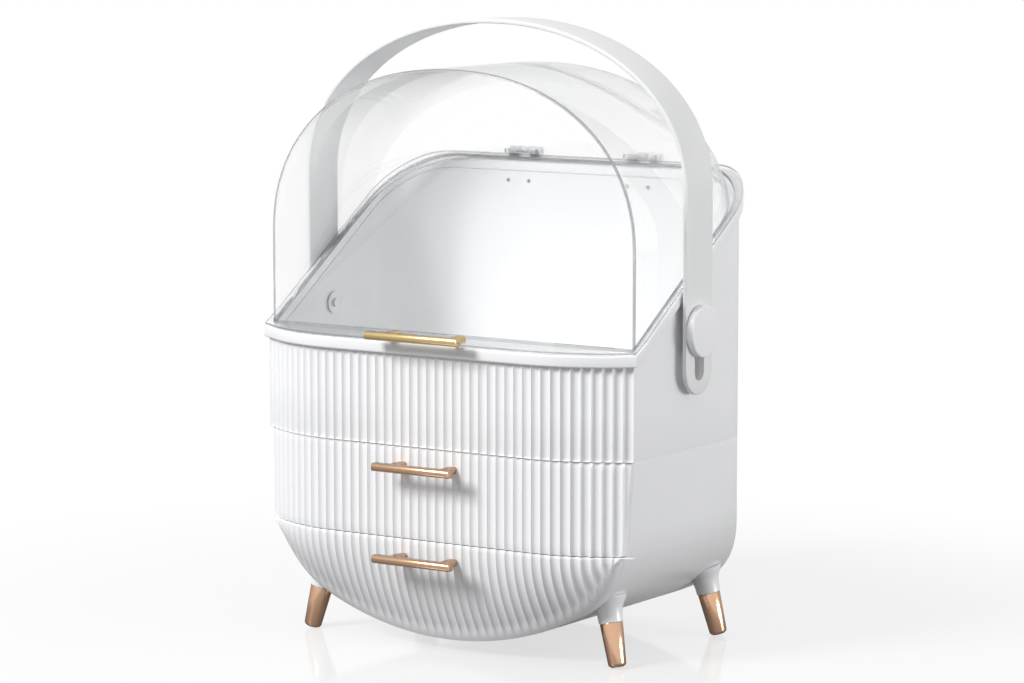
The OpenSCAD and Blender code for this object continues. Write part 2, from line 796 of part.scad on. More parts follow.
module hinge_cover_right() {
    hinge_cover_at(hinge_x);
}

module hinge_cover_left() {
    hinge_cover_at(-hinge_x);
}

module hinge_pins() {
    color(steel)
    for (sx = [-1, 1])
        rod_x(hinge_pin_r, sx * hinge_x - hinge_len / 2, sx * hinge_x + hinge_len / 2, axis_y, axis_z);
}

module hinge_screws() {
    color(steel)
    for (sx = [-1, 1])
        for (dx = [-1, 1]) {
            rod_y(screw_r, back_y - wall, back_y + 1.6, sx * hinge_x + dx * 8, hinge_screw_z);
            rod_y(head_r - 0.4, back_y + 1.6, back_y + 2.8, sx * hinge_x + dx * 8, hinge_screw_z);
        }
}

// ---- handle ----
axle_r = 4;
strap_in = half + lip_over + strap_gap;
strap_out = strap_in + strap_t;
collar_out = strap_in - 0.2;
block_r = slot_w / 2 - 0.2;
button_x = strap_out + 0.2;
strap_foot_z = pivot_z - strap_tail + strap_w / 2;
haunch_z = strap_spring_z + (strap_top_z - strap_spring_z) * 0.51;
function strap_edge(hw, top) =
    let (rise = top - strap_spring_z)
    concat(
        [[-hw, pivot_z - 60]],
        [for (i = [0:48]) let (a = 180 - 180 * i / 48)
            [hw * pow(abs(cos(a)), 2 / strap_power) * sign(cos(a)), strap_spring_z + rise * pow(sin(a), 2 / strap_power)]],
        [[hw, pivot_z - 60]]
    );

// The right half of the strap's arch between two heights
module strap_arch(z0, z1) {
    color(white)
    difference() {
        along_y(strap_edge(strap_out, strap_top_z), pivot_y - strap_w / 2, pivot_y + strap_w / 2);
        along_y([for (p = strap_edge(strap_in, strap_top_z - strap_t)) [p[0], p[1] - (p[1] < pivot_z ? 1 : 0)]],
            pivot_y - strap_w / 2 - 1, pivot_y + strap_w / 2 + 1);
        block(-strap_out - 1, 0, pivot_y - strap_w, pivot_y + strap_w, pivot_z - 100, strap_top_z + 1);
        block(-1, strap_out + 1, pivot_y - strap_w, pivot_y + strap_w, pivot_z - 100, z0);
        if (z1 < strap_top_z)
            block(-1, strap_out + 1, pivot_y - strap_w, pivot_y + strap_w, z1, strap_top_z + 1);
    }
}

module handle_haunch_right() {
    strap_arch(strap_spring_z, haunch_z);
}

module handle_haunch_left() {
    mirror([1, 0, 0]) handle_haunch_right();
}

module handle_crown_right() {
    strap_arch(haunch_z, strap_top_z);
}

module handle_crown_left() {
    mirror([1, 0, 0]) handle_crown_right();
}

module handle_leg_right() {
    color(white)
    difference() {
        union() {
            block(strap_in, strap_out, pivot_y - strap_w / 2, pivot_y + strap_w / 2, strap_foot_z, strap_spring_z);
            rod_x(strap_w / 2, strap_in, strap_out, pivot_y, strap_foot_z);
        }
        rod_x(slot_w / 2, strap_in - 1, strap_out + 1, pivot_y, pivot_z);
        rod_x(slot_w / 2, strap_in - 1, strap_out + 1, pivot_y, pivot_z - slot_travel);
        block(strap_in - 1, strap_out + 1, pivot_y - slot_w / 2, pivot_y + slot_w / 2, pivot_z - slot_travel, pivot_z);
    }
}

module handle_leg_left() {
    mirror([1, 0, 0]) handle_leg_right();
}

// Axle through the side wall, collar between wall and strap, slider in the slot
module pivot_block_right() {
    color(white)
    difference() {
        union() {
            rod_x(axle_r, half - wall - 0.4, half + 1, pivot_y, pivot_z);
            rod_x(axle_r + 2.6, half + 0.2, collar_out, pivot_y, pivot_z);
            rod_x(block_r, collar_out - 0.5, button_x, pivot_y, pivot_z);
        }
        rod_x(screw_r, half - wall - 1, half + 7, pivot_y, pivot_z);
    }
}

module pivot_block_left() {
    mirror([1, 0, 0]) pivot_block_right();
}

module button_right() {
    color(white)
    translate([button_x, pivot_y, pivot_z])
        rotate([0, 90, 0])
            rotate_extrude($fn = 64)
                polygon(concat(
                    [[0, 0], [button_r, 0], [button_r, button_h - 1.6]],
                    [for (i = [1:6]) [button_r - 1.6 + 1.6 * cos(i * 15), button_h - 1.6 + 1.6 * sin(i * 15)]],
                    [[0, button_h]]
                ));
}

module button_left() {
    mirror([1, 0, 0]) button_right();
}

module pivot_retainers() {
    color(steel)
    for (sx = [-1, 1])
        mirror([sx < 0 ? 1 : 0, 0, 0]) {
            rod_x(axle_r + 3, half - wall - 1.6, half - wall - 0.4, pivot_y, pivot_z);
            rod_x(screw_r, half - wall - 1.2, half + 6, pivot_y, pivot_z);
            rod_x(head_r, half - wall - 3, half - wall - 1.6, pivot_y, pivot_z);
        }
}

// ---- feet ----
lean_k = 1 / sqrt(1 + lean_x * lean_x + lean_y * lean_y);
leg_root = 46;

// Moves its children to a leg's axis: z = 0 at the ground, +Z up along the leg
module leg_frame(sx, sy) {
    a = asin(lean_y * lean_k);
    b = asin(lean_x * lean_k / cos(a));
    dy = sy == 0 ? -1 : 1;
    translate([sx * foot_x, sy == 0 ? corner_y + foot_in : back_y - foot_in, 0])
        rotate([dy * a, -sx * b, 0]) children();
}

module leg_socket_at(sx, sy) {
    color(white)
    difference() {
        leg_frame(sx, sy)
            difference() {
                translate([0, 0, tip_len + pad_h]) cylinder(d1 = tip_top_d + 0.8, d2 = socket_d, h = leg_root - tip_len - pad_h);
                translate([0, 0, tip_len]) cylinder(r = screw_r, h = 40);
            }
        housing_solid(0, seam_high_z, open_y, back_y);
    }
}

module leg_tip_at(sx, sy) {
    color(gold)
    leg_frame(sx, sy)
        difference() {
            union() {
                translate([0, 0, pad_h + 1.2])
                    cylinder(d1 = tip_foot_d, d2 = tip_top_d, h = tip_len - 1.2);
                translate([0, 0, pad_h]) cylinder(d1 = tip_foot_d - 2, d2 = tip_foot_d, h = 1.2);
            }
            translate([0, 0, tip_len - 8]) cylinder(r = screw_r, h = 40);
        }
}

module foot_pad_at(sx, sy) {
    color(clear)
    intersection() {
        leg_frame(sx, sy) translate([0, 0, -6]) cylinder(d = tip_foot_d - 2.4, h = pad_h + 6);
        block(-200, 200, -200, 200, 0, 10);
    }
}

module leg_socket_front_left() {
    leg_socket_at(-1, 0);
}

module leg_socket_front_right() {
    leg_socket_at(1, 0);
}

module leg_socket_back_left() {
    leg_socket_at(-1, 1);
}

module leg_socket_back_right() {
    leg_socket_at(1, 1);
}

module leg_tip_front_left() {
    leg_tip_at(-1, 0);
}

module leg_tip_front_right() {
    leg_tip_at(1, 0);
}

module leg_tip_back_left() {
    leg_tip_at(-1, 1);
}

module leg_tip_back_right() {
    leg_tip_at(1, 1);
}

module foot_pad_front_left() {
    foot_pad_at(-1, 0);
}

module foot_pad_front_right() {
    foot_pad_at(1, 0);
}

module foot_pad_back_left() {
    foot_pad_at(-1, 1);
}

module foot_pad_back_right() {
    foot_pad_at(1, 1);
}

// Screws from inside the housing down each leg into its metal tip
leg_head_z = leg_root + 0.5;

module leg_screws() {
    color(steel)
    for (sx = [-1, 1])
        for (sy = [0, 1])
            leg_frame(sx, sy) {
                translate([0, 0, tip_len - 6]) cylinder(r = screw_r, h = leg_head_z - tip_len + 6.5);
                translate([0, 0, leg_head_z]) cylinder(r = head_r, h = 1.6);
            }
}

lower_housing();
shelf();
upper_rail_left();
upper_rail_right();
lower_rail_left();
lower_rail_right();
top_tier();
rim_trim();
tier_screws();
drawer_upper_front();
drawer_upper_box();
drawer_upper_pull();
drawer_upper_screws();
drawer_lower_front();
drawer_lower_tuck();
drawer_lower_box();
drawer_lower_pull();
drawer_lower_screws();
cover_front_shell();
cover_back_shell();
cover_flange();
cover_pull();
hinge_body_left();
hinge_body_right();
hinge_cover_left();
hinge_cover_right();
hinge_pins();
hinge_screws();
handle_crown_left();
handle_crown_right();
handle_haunch_left();
handle_haunch_right();
handle_leg_left();
handle_leg_right();
pivot_block_left();
pivot_block_right();
button_left();
button_right();
pivot_retainers();
leg_socket_front_left();
leg_socket_front_right();
leg_socket_back_left();
leg_socket_back_right();
leg_tip_front_left();
leg_tip_front_right();
leg_tip_back_left();
leg_tip_back_right();
foot_pad_front_left();
foot_pad_front_right();
foot_pad_back_left();
foot_pad_back_right();
leg_screws();
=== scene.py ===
import math

import bmesh
import bpy
import numpy as np
from mathutils import Matrix, Vector


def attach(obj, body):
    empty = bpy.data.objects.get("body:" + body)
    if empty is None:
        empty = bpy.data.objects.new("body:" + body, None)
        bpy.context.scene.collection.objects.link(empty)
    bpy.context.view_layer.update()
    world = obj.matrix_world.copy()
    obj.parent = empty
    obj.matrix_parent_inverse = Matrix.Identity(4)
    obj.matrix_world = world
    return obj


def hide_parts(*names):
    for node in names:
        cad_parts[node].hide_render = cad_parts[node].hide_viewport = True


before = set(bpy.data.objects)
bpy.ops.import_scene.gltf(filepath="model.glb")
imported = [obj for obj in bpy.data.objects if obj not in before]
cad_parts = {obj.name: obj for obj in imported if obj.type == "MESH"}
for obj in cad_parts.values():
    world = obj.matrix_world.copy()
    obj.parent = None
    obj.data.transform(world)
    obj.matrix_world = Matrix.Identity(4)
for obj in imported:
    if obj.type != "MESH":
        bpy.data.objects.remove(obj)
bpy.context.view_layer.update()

# ---------------------------------------------------------------- sizes, mm
W, DEPTH, WALL = 275.0, 155.0, 3.0
HALF = W / 2
FLAT, BOW_R, BOW_A = 72.0, 102.0, math.radians(29.5)
FLUTES, FLUTE_D = 44, 1.8
PULL_REACH, PULL_D, PULL_T = 19.0, 5.6, 5.2
LIP_H, LIP_OVER = 7.5, 2.8
SEAM_LOW, SEAM_HIGH = 73.6, 132.3
RIM_F, RIM_B = 197.5, 300.0
BACK_R = 41.0
SWEEP_X = FLAT + BOW_R * math.sin(BOW_A)
END = HALF - SWEEP_X
BOW = BOW_R * (1 - math.cos(BOW_A)) + END * math.tan(BOW_A)
CORNER = (PULL_REACH + BOW - DEPTH - (LIP_OVER + 0.7 + 3) - 3) / 2
BACK = CORNER + DEPTH
FRONT = CORNER - BOW
REAR = CORNER + 2.2
OPEN = REAR + 0.3
PIV_Y, PIV_Z = CORNER + 65.5, 206.5
SHOULDER = BOW_R * BOW_A
SLEN = FLAT + SHOULDER + END / math.cos(BOW_A)
SKIN = 3.35
UPPER_PULL_Z, LOWER_PULL_Z, PULL_LEN = 120.5, 62.5, 58.0
COVER_PULL_LEN, COVER_PULL_REACH, COVER_PULL_IN = 69.0, 21.0, 5.0
POST_IN, POST_HALF, POST_LOW, POST_HIGH = 10.0, 2.5, 0.4, 1.8
TUCK_TOP, TUCK_POWER, SOLID_END = 71.0, 1.8, 116.0
STRAP_GAP, STRAP_T, STRAP_W, STRAP_TAIL = 1.2, 3.0, 31.5, 39.6
STRAP_SPRING, STRAP_TOP, STRAP_POWER, STRAP_EDGE = 292.0, 395.5, 2.08, 0.9
SLOT_R, SLOT_RUN = 5.5, 25.4
BUTTON_R, BUTTON_H, BUTTON_EDGE = 16.2, 4.6, 1.1
LEDGE_T, SHEET_GAP = 2.0, 0.3
FOOT_X, FOOT_IN = 117.0, 16.0
MM = 0.001


def bow(s):
    """Point and outward normal of the bowed front at arc length s, plan view."""
    t = abs(s)
    k = 1 if s >= 0 else -1
    a = 0 if t < FLAT else min(BOW_A, (t - FLAT) / BOW_R)
    q = max(0, t - FLAT - SHOULDER)
    x = k * (min(t, FLAT) + BOW_R * math.sin(a) + q * math.cos(a))
    y = FRONT + BOW_R * (1 - math.cos(a)) + q * math.sin(a)
    return x, y, k * math.sin(a), -math.cos(a)


# under-curve: three tangent arcs
UR, TR, SR, SZ, GAP = 213.0, 72.0, 1240.0, 190.0, 8.0
C1 = np.array([0, GAP + UR])
C3 = np.array([HALF - SR, SZ])
_d1, _d3 = UR - TR, SR - TR
_L = np.linalg.norm(C3 - C1)
_m = (_d1**2 - _d3**2 + _L**2) / (2 * _L)
_h = math.sqrt(_d1**2 - _m**2)
_e = (C3 - C1) / _L
C2 = max((C1 + _m * _e + k * _h * np.array([-_e[1], _e[0]]) for k in (-1, 1)), key=lambda p: p[0] - p[1])
A1 = math.atan2(C2[1] - C1[1], C2[0] - C1[0])
A3 = math.atan2(C2[1] - C3[1], C2[0] - C3[0])
T1X = C1[0] + UR * math.cos(A1)
T3X = C3[0] + SR * math.cos(A3)


def u_low(x):
    a = abs(x)
    if a < T1X:
        return C1[1] - math.sqrt(UR**2 - a * a)
    if a < T3X:
        return C2[1] - math.sqrt(TR**2 - (a - C2[0]) ** 2)
    return C3[1] - math.sqrt(max(0, SR**2 - (a - C3[0]) ** 2))


def u_half(z):
    """Half width of the outline at height z."""
    if z >= SZ:
        return HALF
    t3z = C3[1] + SR * math.sin(A3)
    t1z = C1[1] + UR * math.sin(A1)
    if z >= t3z:
        return C3[0] + math.sqrt(SR**2 - (z - C3[1]) ** 2)
    if z >= t1z:
        return C2[0] + math.sqrt(TR**2 - (z - C2[1]) ** 2)
    return math.sqrt(max(0, UR**2 - (z - C1[1]) ** 2))


def u_curve(o, n1=24, n2=30, n3=10):
    """Right half of the outline from the middle up, moved inward by o: x, z and the outward normal."""
    out = []
    for c, r, a, b, n in ((C1, UR, -math.pi / 2, A1, n1), (C2, TR, A1, A3, n2), (C3, SR, A3, 0, n3)):
        for i in range(n + 1):
            if i == 0 and out:
                continue
            t = a + (b - a) * i / n
            out.append((c[0] + (r - o) * math.cos(t), c[1] + (r - o) * math.sin(t), math.cos(t), math.sin(t)))
    return out


def rim_z(y, soft=5.0):
    t = y - CORNER
    if t < -soft:
        s = 0
    elif t < soft:
        s = (t + soft) ** 2 / (4 * soft)
    elif t < DEPTH - soft:
        s = t
    elif t < DEPTH + soft:
        s = DEPTH - (DEPTH + soft - t) ** 2 / (4 * soft)
    else:
        s = DEPTH
    return RIM_F + (RIM_B - RIM_F) / DEPTH * s


# ---------------------------------------------------------------- mesh helpers
def new_object(name, verts, faces=()):
    """An object whose mesh is given in millimetres."""
    me = bpy.data.meshes.new(name)
    me.from_pydata([(x * MM, y * MM, z * MM) for x, y, z in verts], [], faces)
    ob = bpy.data.objects.new(name, me)
    bpy.context.scene.collection.objects.link(ob)
    return ob


def make(name, verts, faces, mat, body, replaces, sharp=35.0):
    """A finished piece from its vertices and faces."""
    ob = new_object(name, verts, faces)
    clean(ob.data)
    finish_mesh(ob.data, sharp)
    ob.data.materials.append(mat)
    place(ob, body, replaces)
    return ob


def place(ob, body, replaces):
    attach(ob, body)
    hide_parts(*replaces)


def clean(me):
    """Merges doubles, drops empty edges and turns the faces outward."""
    bm = bmesh.new()
    bm.from_mesh(me)
    bmesh.ops.remove_doubles(bm, verts=bm.verts, dist=1e-6)
    bmesh.ops.dissolve_degenerate(bm, edges=bm.edges, dist=1e-7)
    bmesh.ops.recalc_face_normals(bm, faces=bm.faces)
    bm.to_mesh(me)
    bm.free()


def finish_mesh(me, sharp):
    """Smooth shading with edges kept sharp past an angle in degrees."""
    me.polygons.foreach_set("use_smooth", [True] * len(me.polygons))
    me.set_sharp_from_angle(angle=math.radians(sharp))
    me.update()


def apply_modifiers(ob):
    """Turns the object as its modifiers show it into a plain mesh."""
    bpy.context.view_layer.update()
    dg = bpy.context.evaluated_depsgraph_get()
    me = bpy.data.meshes.new_from_object(ob.evaluated_get(dg))
    ob.modifiers.clear()
    old = ob.data
    ob.data = me
    bpy.data.meshes.remove(old)
    return me


def grid(nu, nv, base=0, closed_u=False, closed_v=False):
    """Quads of a grid of nu x nv vertices, v fastest."""
    f = []
    for i in range(nu if closed_u else nu - 1):
        for j in range(nv if closed_v else nv - 1):
            a = base + i * nv + j
            b = base + i * nv + (j + 1) % nv
            c = base + ((i + 1) % nu) * nv + (j + 1) % nv
            d = base + ((i + 1) % nu) * nv + j
            f.append((a, b, c, d))
    return f


def round_rect(x0, x1, z0, z1, r, n=4):
    """Closed outline of a rounded rectangle."""
    pts = []
    corners = ((x1 - r, z0 + r, -90), (x1 - r, z1 - r, 0), (x0 + r, z1 - r, 90), (x0 + r, z0 + r, 180))
    for cx, cz, a0 in corners:
        for i in range(n + 1):
            a = math.radians(a0 + 90 * i / n)
            pts.append((cx + r * math.cos(a), cz + r * math.sin(a)))
    return pts


def lathe(profile, n=64):
    """Verts and faces of a closed profile of (r, z) turned about Z, ends on the axis."""
    verts = []
    for i in range(n):
        t = 2 * math.pi * i / n
        verts += [(r * math.cos(t), r * math.sin(t), z) for r, z in profile]
    return verts, grid(n, len(profile), closed_u=True)


def plan_loop(per_flute=0, turn=14):
    """Points of the plan outline, counterclockwise from the front left corner: (x, y, nx, ny, s or None)."""
    pts = []
    if per_flute:
        n = FLUTES * per_flute
        ss = [-SLEN + 2 * SLEN * i / n for i in range(n + 1)]
    else:
        a = [FLAT + SHOULDER * i / 14 for i in range(15)]
        ss = sorted([-SLEN] + [-q for q in a] + [-FLAT / 2, 0, FLAT / 2] + a + [SLEN])
    for s in ss:
        x, y, nx, ny = bow(s)
        pts.append((x, y, nx, ny, s))
    side = [CORNER + (DEPTH - BACK_R) * i / 12 for i in range(13)]
    pts += [(HALF, y, 1, 0, None) for y in side]
    r = BACK_R
    for k, first in ((1, 1), (-1, 0)):
        for i in range(first, turn + first):
            a = math.pi / 2 * i / turn + (0 if k == 1 else math.pi / 2)
            c, q = math.cos(a), math.sin(a)
            pts.append((k * (HALF - r) + r * c, BACK - r + r * q, c, q, None))
    pts += [(-HALF, y, -1, 0, None) for y in reversed(side)]
    return pts


def offset_plan(p, o):
    """A plan point moved outward by o, with a mitred front corner."""
    x, y, nx, ny, s = p
    if abs(abs(x) - HALF) < 1e-6 and abs(y - CORNER) < 1e-6:
        k = 1 if x > 0 else -1
        return (x + k * o, y - o * math.cos(BOW_A) / (1 + math.sin(BOW_A)))
    return (x + nx * o, y + ny * o)


# ---------------------------------------------------------------- materials
def group(name, inputs, outputs):
    g = bpy.data.node_groups.new(name, "ShaderNodeTree")
    for n, kind, default in inputs:
        s = g.interface.new_socket(n, in_out="INPUT", socket_type=kind)
        if default is not None:
            s.default_value = default
    for n, kind in outputs:
        g.interface.new_socket(n, in_out="OUTPUT", socket_type=kind)
    return g, g.nodes.new("NodeGroupInput"), g.nodes.new("NodeGroupOutput")


def node(tree, kind, **values):
    n = tree.nodes.new(kind)
    for k, v in values.items():
        if k in n.inputs:
            n.inputs[k].default_value = v
        else:
            setattr(n, k, v)
    return n


def make_surface_group():
    """Moulded-surface detail: fine grain, soft waviness and faint handling marks."""
    g, i, o = group(
        "moulded_surface",
        [("Coordinates", "NodeSocketVector", None), ("Color", "NodeSocketColor", (0.9, 0.9, 0.9, 1)),
         ("Roughness", "NodeSocketFloat", 0.25), ("Grain", "NodeSocketFloat", 900.0),
         ("Variation", "NodeSocketFloat", 0.03)],
        [("Color", "NodeSocketColor"), ("Roughness", "NodeSocketFloat"), ("Height", "NodeSocketFloat")],
    )
    L = g.links.new
    fine = node(g, "ShaderNodeTexNoise", Detail=3.0)
    L(i.outputs["Coordinates"], fine.inputs["Vector"])
    L(i.outputs["Grain"], fine.inputs["Scale"])
    wide = node(g, "ShaderNodeTexNoise", Scale=14.0, Detail=2.0)
    L(i.outputs["Coordinates"], wide.inputs["Vector"])
    marks = node(g, "ShaderNodeTexNoise", Scale=55.0, Detail=6.0, Distortion=1.2)
    L(i.outputs["Coordinates"], marks.inputs["Vector"])
    mr = node(g, "ShaderNodeMapRange")
    mr.inputs["From Min"].default_value = 0.35
    mr.inputs["From Max"].default_value = 0.75
    mr.inputs["To Min"].default_value = -0.5
    mr.inputs["To Max"].default_value = 0.5
    L(marks.outputs["Fac"], mr.inputs["Value"])
    scale = node(g, "ShaderNodeMath", operation="MULTIPLY")
    L(mr.outputs["Result"], scale.inputs[0])
    L(i.outputs["Variation"], scale.inputs[1])
    rough = node(g, "ShaderNodeMath", operation="ADD")
    L(i.outputs["Roughness"], rough.inputs[0])
    L(scale.outputs[0], rough.inputs[1])
    val = node(g, "ShaderNodeMapRange")
    val.inputs["To Min"].default_value = 0.985
    val.inputs["To Max"].default_value = 1.015
    L(wide.outputs["Fac"], val.inputs["Value"])
    tint = node(g, "ShaderNodeVectorMath", operation="SCALE")
    L(i.outputs["Color"], tint.inputs[0])
    L(val.outputs["Result"], tint.inputs["Scale"])
    h = node(g, "ShaderNodeMath", operation="MULTIPLY_ADD")
    L(wide.outputs["Fac"], h.inputs[0])
    h.inputs[1].default_value = 2.0
    L(fine.outputs["Fac"], h.inputs[2])
    L(tint.outputs["Vector"], o.inputs["Color"])
    L(rough.outputs[0], o.inputs["Roughness"])
    L(h.outputs[0], o.inputs["Height"])
    return g


def make_brushed_group():
    """Drawn-metal detail: fine lines along one axis with roughness variation."""
    g, i, o = group(
        "drawn_metal",
        [("Coordinates", "NodeSocketVector", None), ("Color", "NodeSocketColor", (0.9, 0.7, 0.5, 1)),
         ("Roughness", "NodeSocketFloat", 0.2), ("Stretch", "NodeSocketVector", (20, 900, 900))],
        [("Color", "NodeSocketColor"), ("Roughness", "NodeSocketFloat"), ("Height", "NodeSocketFloat")],
    )
    L = g.links.new
    m = node(g, "ShaderNodeVectorMath", operation="MULTIPLY")
    L(i.outputs["Coordinates"], m.inputs[0])
    L(i.outputs["Stretch"], m.inputs[1])
    lines = node(g, "ShaderNodeTexNoise", Scale=1.0, Detail=4.0)
    L(m.outputs["Vector"], lines.inputs["Vector"])
    mr = node(g, "ShaderNodeMapRange")
    mr.inputs["To Min"].default_value = -0.05
    mr.inputs["To Max"].default_value = 0.07
    L(lines.outputs["Fac"], mr.inputs["Value"])
    rough = node(g, "ShaderNodeMath", operation="ADD")
    L(i.outputs["Roughness"], rough.inputs[0])
    L(mr.outputs["Result"], rough.inputs[1])
    val = node(g, "ShaderNodeMapRange")
    val.inputs["To Min"].default_value = 0.95
    val.inputs["To Max"].default_value = 1.04
    L(lines.outputs["Fac"], val.inputs["Value"])
    tint = node(g, "ShaderNodeVectorMath", operation="SCALE")
    L(i.outputs["Color"], tint.inputs[0])
    L(val.outputs["Result"], tint.inputs["Scale"])
    L(tint.outputs["Vector"], o.inputs["Color"])
    L(rough.outputs[0], o.inputs["Roughness"])
    L(lines.outputs["Fac"], o.inputs["Height"])
    return g


SURFACE = make_surface_group()
BRUSHED = make_brushed_group()


def material(name, color, rough, g, bump, dist, extra=None, **principled):
    """A Principled material whose colour, roughness and bump come from a detail group."""
    m = bpy.data.materials.new(name)
    m.use_nodes = True
    t = m.node_tree
    t.nodes.clear()
    out = node(t, "ShaderNodeOutputMaterial")
    p = node(t, "ShaderNodeBsdfPrincipled")
    for k, v in principled.items():
        p.inputs[k.replace("_", " ")].default_value = v
    co = node(t, "ShaderNodeTexCoord")
    d = node(t, "ShaderNodeGroup")
    d.node_tree = g
    t.links.new(co.outputs["Object"], d.inputs["Coordinates"])
    d.inputs["Color"].default_value = (*color, 1)
    d.inputs["Roughness"].default_value = rough
    for k, v in (extra or {}).items():
        d.inputs[k].default_value = v
    b = node(t, "ShaderNodeBump")
    b.inputs["Strength"].default_value = bump
    b.inputs["Distance"].default_value = dist
    t.links.new(d.outputs["Height"], b.inputs["Height"])
    t.links.new(d.outputs["Color"], p.inputs["Base Color"])
    t.links.new(d.outputs["Roughness"], p.inputs["Roughness"])
    t.links.new(b.outputs["Normal"], p.inputs["Normal"])
    t.links.new(p.outputs["BSDF"], out.inputs["Surface"])
    m.diffuse_color = (*color, 1)
    return m


white = material("white_gloss_plastic", (0.885, 0.89, 0.9), 0.3, SURFACE, 0.05, 0.0002,
                 Coat_Weight=0.25, Coat_Roughness=0.12)
white_front = material("white_fluted_plastic", (0.88, 0.885, 0.895), 0.32, SURFACE, 0.05, 0.0002,
                       Coat_Weight=0.2, Coat_Roughness=0.15)
# The strap takes a rougher copy of the white plastic whose darker colour is painted shade.
shaded_strap_white = material("strap_plastic_painted_shade", (0.80, 0.805, 0.81), 0.38, SURFACE, 0.06, 0.0002,
                       Coat_Weight=0.15, Coat_Roughness=0.2)
# The inner parts take a rougher white whose darker colour is painted shade.
shaded_inner_white = material("satin_plastic_painted_shade", (0.84, 0.845, 0.85), 0.45, SURFACE, 0.08, 0.0002,
                       extra={"Grain": 1400.0})
gold = material("rose_gold_bar", (0.72, 0.47, 0.30), 0.2, BRUSHED, 0.05, 0.0001,
                Metallic=1.0, extra={"Stretch": (30, 1500, 1500)})
gold_cover = material("pale_gold_bar", (0.80, 0.60, 0.30), 0.22, BRUSHED, 0.05, 0.0001,
                      Metallic=1.0, extra={"Stretch": (30, 1500, 1500)})
gold_tip = material("rose_gold_tip", (0.74, 0.46, 0.30), 0.14, BRUSHED, 0.04, 0.0001,
                    Metallic=1.0, extra={"Stretch": (1500, 1500, 40)})
steel = material("satin_steel", (0.62, 0.62, 0.63), 0.33, BRUSHED, 0.05, 0.0001,
                 Metallic=1.0, extra={"Stretch": (40, 1500, 1500)})
clear = material("clear_acrylic", (0.985, 0.99, 0.992), 0.008, SURFACE, 0.0, 0.0001,
                 Transmission_Weight=1.0, IOR=1.25, extra={"Variation": 0.006, "Grain": 200.0})
# The grey of the sheets' cut and rounded edges is a painted dark reflection, not a tint of the acrylic.
clear_edge_painted_reflection = material("clear_edge_painted_reflection", (0.28, 0.30, 0.32), 0.12, SURFACE, 0.02, 0.0001,
                      Transmission_Weight=0.3, IOR=1.45, extra={"Variation": 0.05})


def turned(m, rim, power):
    """Gives a material another colour where its surface turns away from the eye: a painted dark reflection
    along its silhouettes.
    """
    t = m.node_tree
    p = next(n for n in t.nodes if n.type == "BSDF_PRINCIPLED")
    d = next(n for n in t.nodes if n.type == "GROUP")
    lw = node(t, "ShaderNodeLayerWeight")
    lw.inputs["Blend"].default_value = 0.5
    pw = node(t, "ShaderNodeMath", operation="POWER")
    pw.inputs[1].default_value = power
    t.links.new(lw.outputs["Facing"], pw.inputs[0])
    mix = node(t, "ShaderNodeMix", data_type="RGBA")
    t.links.new(pw.outputs[0], mix.inputs[0])
    t.links.new(d.outputs["Color"], mix.inputs[6])
    mix.inputs[7].default_value = (*rim, 1)
    t.links.new(mix.outputs[2], p.inputs["Base Color"])


def see_through(m, blend, low, high, power=3.0):
    """Lets light straight through where the sheet is seen square on, as a thin clear sheet does, and greys the
    sheet toward its silhouettes as a painted dark reflection.
    """
    t = m.node_tree
    p = next(n for n in t.nodes if n.type == "BSDF_PRINCIPLED")
    lw = node(t, "ShaderNodeLayerWeight")
    lw.inputs["Blend"].default_value = blend
    mr = node(t, "ShaderNodeMapRange")
    mr.inputs["To Min"].default_value = low
    mr.inputs["To Max"].default_value = high
    steep = node(t, "ShaderNodeMath", operation="POWER")
    steep.inputs[1].default_value = power
    t.links.new(lw.outputs["Facing"], steep.inputs[0])
    t.links.new(steep.outputs[0], mr.inputs["Value"])
    t.links.new(mr.outputs["Result"], p.inputs["Alpha"])
    # painted dark reflection: the sheet's colour turns grey toward its silhouettes
    turned(m, (0.26, 0.28, 0.3), 3.5)


see_through(clear, 0.5, 0.05, 0.95, 3.0)
see_through(clear_edge_painted_reflection, 0.5, 0.7, 0.95, 1.0)
# Painted dark reflections: the gold pulls and tips turn darker toward their silhouettes.
turned(gold, (0.20, 0.10, 0.05), 1.3)
turned(gold_cover, (0.26, 0.16, 0.04), 1.4)
turned(gold_tip, (0.12, 0.05, 0.02), 1.1)
pad_mat = material("clear_pad", (0.9, 0.91, 0.92), 0.12, SURFACE, 0.03, 0.0001,
                   Transmission_Weight=0.9, IOR=1.45, extra={"Variation": 0.02})


# ---------------------------------------------------------------- geometry nodes
def gn_tree(name, inputs):
    g = bpy.data.node_groups.new(name, "GeometryNodeTree")
    g.interface.new_socket("Geometry", in_out="INPUT", socket_type="NodeSocketGeometry")
    for n, kind, default in inputs:
        s = g.interface.new_socket(n, in_out="INPUT", socket_type=kind)
        if default is not None:
            s.default_value = default
    g.interface.new_socket("Geometry", in_out="OUTPUT", socket_type="NodeSocketGeometry")
    return g, g.nodes.new("NodeGroupInput"), g.nodes.new("NodeGroupOutput")


def gmath(g, op, a, b=None, c=None):
    n = g.nodes.new("ShaderNodeMath")
    n.operation = op
    for k, v in enumerate((a, b, c)):
        if v is None:
            continue
        if isinstance(v, (int, float)):
            n.inputs[k].default_value = v
        else:
            g.links.new(v, n.inputs[k])
    return n.outputs[0]


